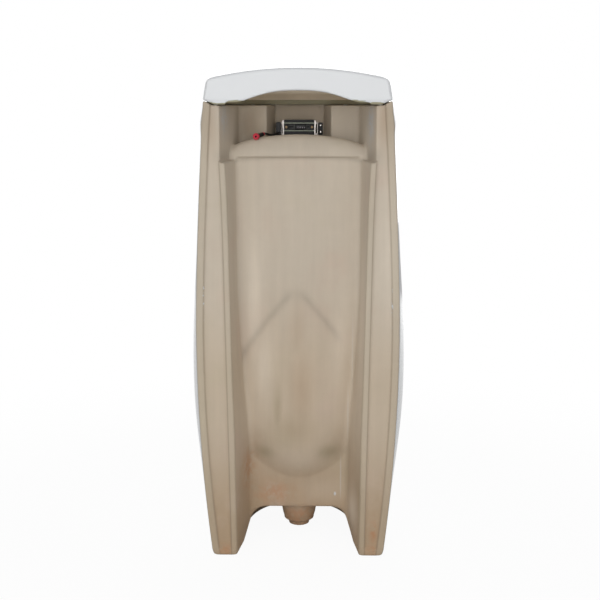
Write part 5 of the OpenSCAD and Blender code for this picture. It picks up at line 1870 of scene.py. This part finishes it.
@dataclass(frozen=True)
class SensorUnit:
    """Frame, cover, board and screws of the sensor unit, in finer form than the solids."""

    form: ChinaForm = ChinaForm()
    half: float = 31.5
    low: float = 859
    high: float = 897
    near: float = 155.7
    far: float = 205.7
    sheet: float = 1.5
    slot_z: float = 882
    screw_x: float = -44.8
    screw_pitch: float = 14
    screw_hole_r: float = 2.08
    head_r: float = 2.9
    shank_r: float = 2
    latch_hole_r: float = 2.6
    latch_d: float = 180
    pins: int = 5
    pin_x: float = -10.8
    pin_pitch: float = 3.7
    pin_half: float = 0.35

    def box(self, x: Pair, d: Pair, z: Pair) -> Piece:
        """Box from ranges of X, depth and Z."""
        y = [self.form.y(depth) for depth in d]
        return Bench.block((min(x), min(y), min(z)), (max(x), max(y), max(z)))

    def drill(self, radius: float, x: Pair, d: Pair, z: float) -> Piece:
        """Round cutter at one height, from one X and depth to the other."""
        (left, right), (near, far) = x, (self.form.y(depth) for depth in d)
        return Bench.rod(radius, (left, near, z), (right, far, z), 32)

    def fold(self, side: int) -> Piece:
        """Folded rear edge of a side, wide at the ends and narrow at the waist."""
        inner, outer = self.half + 0.7, self.half + 3.6
        rows = [
            (self.low - 1.8, 0.2, 0.2), (self.low + 4, 0.0, 0.0), (self.low + 12, 0.6, 0.9),
            (self.low + 17, 0.8, 1.1), (self.low + 21, 0.6, 0.9), (self.low + 28, 0.0, 0.3),
            (self.high - 3, -0.2, 0.0), (self.high - 1, 0.2, 1.0),
        ]
        left = [(side * (inner + a), z) for z, a, _ in spline(rows, 5)]
        right = [(side * (outer - b), z) for z, _, b in spline(rows, 5)]
        outline = np.array([*left, *right[::-1]])
        return self.form.prism("fold", outline, self.near - 0.3 - self.sheet, self.near - 0.3)

    def frame(self) -> Piece:
        """Cradle of bent sheet with its bars, flanges and ribs."""
        t, rear, base = self.sheet, self.near - 0.3, self.low - 0.3
        side = self.half + 0.3
        made = self.box((-side - t, side + t), (rear + 0.3, self.far), (base - t, base))
        parts = []
        for z in (self.low + 14.6, self.high - 7.6):
            parts.append(self.box((-side - t, side + t), (rear - t, rear), (z, z + 2)))
        for s in (1, -1):
            wall, flange = (s * side, s * (side + t)), (s * side, s * (side + t + 16))
            parts.append(self.box(wall, (rear - t, self.far), (base - t, self.high - 1)))
            parts.append(self.fold(s))
            parts.append(self.box(flange, (self.far - t, self.far), (self.low + 7, self.high - 7)))
            rib = s * (side + t + 5)
            wide = (rib - 0.75, rib + 0.75)
            tall = (self.low + 6, self.high - 6)
            parts.append(self.box(wide, (self.far - 14, self.far - 1), tall))
            for z in (self.low + 5, self.high - 9):
                tie = (s * (side + 1), rib)
                parts.append(self.box(tie, (self.far - 14, self.far - 10), (z, z + 4)))
        Bench.work(made, *parts, operation="UNION")
        holes = []
        for s in (1, -1):
            z = self.form.sensor_z + s * self.screw_pitch / 2
            screw, through = (self.screw_x, self.screw_x), (s * (side - 3), s * (side + 4))
            holes.append(self.drill(self.screw_hole_r, screw, (self.far - 5, self.far + 1), z))
            latch = (self.latch_d, self.latch_d)
            holes.append(self.drill(self.latch_hole_r, through, latch, self.form.sensor_z))
        Bench.work(made, *holes)
        return Bench.soften(made, 0.25)

    def cover(self) -> Piece:
        """Rear cover with its slot and three shallow grooves."""
        made = Bench.copied("sensor_cover", 0.3)
        across, deep = (-self.half - 1, self.half + 1), (self.near - 1, self.near + 0.7)
        heights = (self.high - 4.6, self.low + 8.2, self.low + 3.4)
        grooves = [self.box(across, deep, (z, z + 0.9)) for z in heights]
        return Bench.work(made, *grooves)

    def board(self) -> Piece:
        """Board with two sockets, a header and its pins."""
        z = self.slot_z
        made = self.box((-22.2, 22.2), (171.7, 173.68), (864.3, 891.7))
        for low, high, hole in ((8, 22.2, (11.5, 21.2)), (-22.2, -14.6, (-21.3, -15.8))):
            socket = self.box((low, high), (162, 172), (z - 5.4, z + 5.2))
            Bench.work(socket, self.box(hole, (161, 171), (z - 3.4, z + 2.2)))
            Bench.work(made, socket, operation="UNION")
        header = self.box((-13.4, 6.6), (163.2, 172), (z - 5.4, z + 4.4))
        Bench.work(made, header, operation="UNION")
        pins = []
        for k in range(self.pins):
            x = self.pin_x + self.pin_pitch * k
            wide = (x - self.pin_half, x + self.pin_half)
            pins.append(self.box(wide, (160, 172), (z - 3, z + 0.6)))
        Bench.work(made, *pins, operation="UNION")
        return Bench.soften(made, 0.15)

    def screws(self) -> Piece:
        """Two round headed screws with a cross cut."""
        made, r, t = None, self.head_r, self.shank_r
        seat = self.far - self.sheet - 4.02
        for s in (1, -1):
            z = self.form.sensor_z + s * self.screw_pitch / 2
            turn = np.radians(np.linspace(1, 88, 12))
            bow = [(r * math.sin(a), seat - 2 * math.cos(a) ** 0.9) for a in turn]
            shank = [(r, seat), (t, seat), (t, seat + 12), (0.8, seat + 13), (0.01, seat + 13)]
            upright = turned([(0.01, seat - 2), *bow, *shank], (self.screw_x, z), 48)
            screw = Bench.loft("screw", [self.form.placed(ring[:, [0, 2, 1]]) for ring in upright])
            for wide, high in ((2.0, 0.45), (0.45, 2.0)):
                across = (self.screw_x - wide / 2, self.screw_x + wide / 2)
                upward = (z - high / 2, z + high / 2)
                Bench.work(screw, self.box(across, (seat - 3, seat - 1.5), upward))
            made = Bench.work(made, screw, operation="UNION") if made else screw
        Bench.smooth(made, 40)
        return made

    def build(self, wardrobe: Wardrobe) -> None:
        """Makes the four pieces and puts them in place of their nodes."""
        for node, piece, finish in (
            ("sensor_frame", self.frame(), PlatedFrame()),
            ("sensor_cover", self.cover(), Stuff.SOOT),
            ("terminal_board", self.board(), TerminalParts()),
            ("frame_screws", self.screws(), Stuff.BRIGHT),
        ):
            dress_piece(piece, node, "root", finish, wardrobe)


# ---- studio ------------------------------------------------------------------


@dataclass(frozen=True)
class Studio:
    """Camera, soft light and a pale floor."""

    place: Point = (-0.043, 2.4425, 0.9275)
    turn: Point = (80.287, 0.0, 180.98)
    lens: float = 68.35
    sensor: float = 36
    sky: float = 0.46
    lamps: tuple[tuple[str, Point, Point, float, float], ...] = (
        ("key", (0.3, 2.6, 1.7), (0, 0.1, 0.5), 2.2, 19),
        ("fill", (0.1, 2.9, 0.95), (0, 0.1, 0.8), 2.4, 17),
        ("front", (-0.4, -2.9, 1.5), (0, -0.1, 0.55), 2.4, 36),
    )
    floor_size: float = 30
    floor_tone: Colour = (0.88, 0.88, 0.88)
    glow: float = 0.94

    def camera(self) -> None:
        """Sets up the camera."""
        turn = [math.radians(angle) for angle in self.turn]
        Bench.clear()
        bpy.ops.object.camera_add(location=self.place, rotation=turn)
        camera = bpy.context.object
        camera.data.lens = self.lens
        camera.data.sensor_width = self.sensor
        bpy.context.scene.camera = camera
        bpy.context.scene.view_settings.view_transform = "Standard"

    def lamp(self, name: str, place: Point, aim: Point, size: float, power: float) -> None:
        """Adds a square soft lamp.

        Args:
            name: name of the lamp.
            place: where it hangs, in metres.
            aim: point that it shines at.
            size: side of the square in metres.
            power: power in watts.
        """
        Bench.clear()
        bpy.ops.object.light_add(type="AREA", location=place)
        lamp = bpy.context.object
        lamp.name = name
        lamp.data.size = size
        lamp.data.energy = power
        lamp.rotation_euler = (Vector(aim) - Vector(place)).to_track_quat("-Z", "Y").to_euler()

    def surround(self) -> None:
        """Makes the white world."""
        world = bpy.data.worlds.new("white")
        world.use_nodes = True
        nodes, links = world.node_tree.nodes, world.node_tree.links
        nodes.clear()
        path = nodes.new("ShaderNodeLightPath")
        seen = path.outputs["Is Camera Ray"]
        for ray in ("Is Glossy Ray", "Is Transmission Ray"):
            either = nodes.new("ShaderNodeMath")
            either.operation = "MAXIMUM"
            links.new(seen, either.inputs[0])
            links.new(path.outputs[ray], either.inputs[1])
            seen = either.outputs[0]
        level = nodes.new("ShaderNodeMapRange")
        level.inputs[3].default_value = self.sky
        level.inputs[4].default_value = 1.0
        links.new(seen, level.inputs[0])
        back = nodes.new("ShaderNodeBackground")
        back.inputs[0].default_value = (1, 1, 1, 1)
        links.new(level.outputs[0], back.inputs[1])
        out = nodes.new("ShaderNodeOutputWorld")
        links.new(back.outputs[0], out.inputs[0])
        bpy.context.scene.world = world

    def floor(self) -> None:
        """Lays the floor, which keeps a faint shadow."""
        Bench.clear()
        bpy.ops.mesh.primitive_plane_add(size=self.floor_size, location=(0, 0, 0))
        floor = bpy.context.object
        floor.name = "floor"
        p = Paint("pale_floor")
        p.set(Base_Color=(*self.floor_tone, 1.0), Roughness=0.9)
        x, y, _ = p.axes()
        far = (x * x + y * y).power(0.5).step(0.5, 1.6)
        share = p.node("LightPath")["Is Camera Ray"] * (self.glow + far * (1 - self.glow))
        inputs = {0: share, 1: Wire(p, p.shader.outputs[0]), 2: p.node("Emission")[0]}
        mixed = p.node("MixShader", None, inputs)[0]
        p.tree.links.new(mixed.socket, p.out.inputs[0])
        floor.data.materials.append(p.material)

    def build(self) -> None:
        """Lights the object."""
        self.surround()
        self.floor()
        for lamp in self.lamps:
            self.lamp(*lamp)


def main() -> None:
    """Builds the object and its studio."""
    logging.basicConfig(level=logging.INFO, format="%(message)s")
    wardrobe = Wardrobe()
    studio = Studio()
    studio.camera()
    PowerLead().build(wardrobe)
    log.info("lead laid")
    dress_piece(ChinaBody().build(), "china_body", "root", BiscuitChina(), wardrobe)
    log.info("body cast")
    dress_piece(ChinaLid().build(), "china_lid", "lid", GlazedChina(), wardrobe)
    log.info("lid cast")
    SensorUnit().build(wardrobe)
    log.info("sensor unit built")
    for fitting in FITTINGS:
        fitting.build(wardrobe)
        log.info("%s finished", fitting.node)
    for node, stuff in PLAIN.items():
        wardrobe.dress(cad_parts[node], stuff)
    studio.build()
    bpy.context.view_layer.update()


if __name__ == "__main__":
    main()
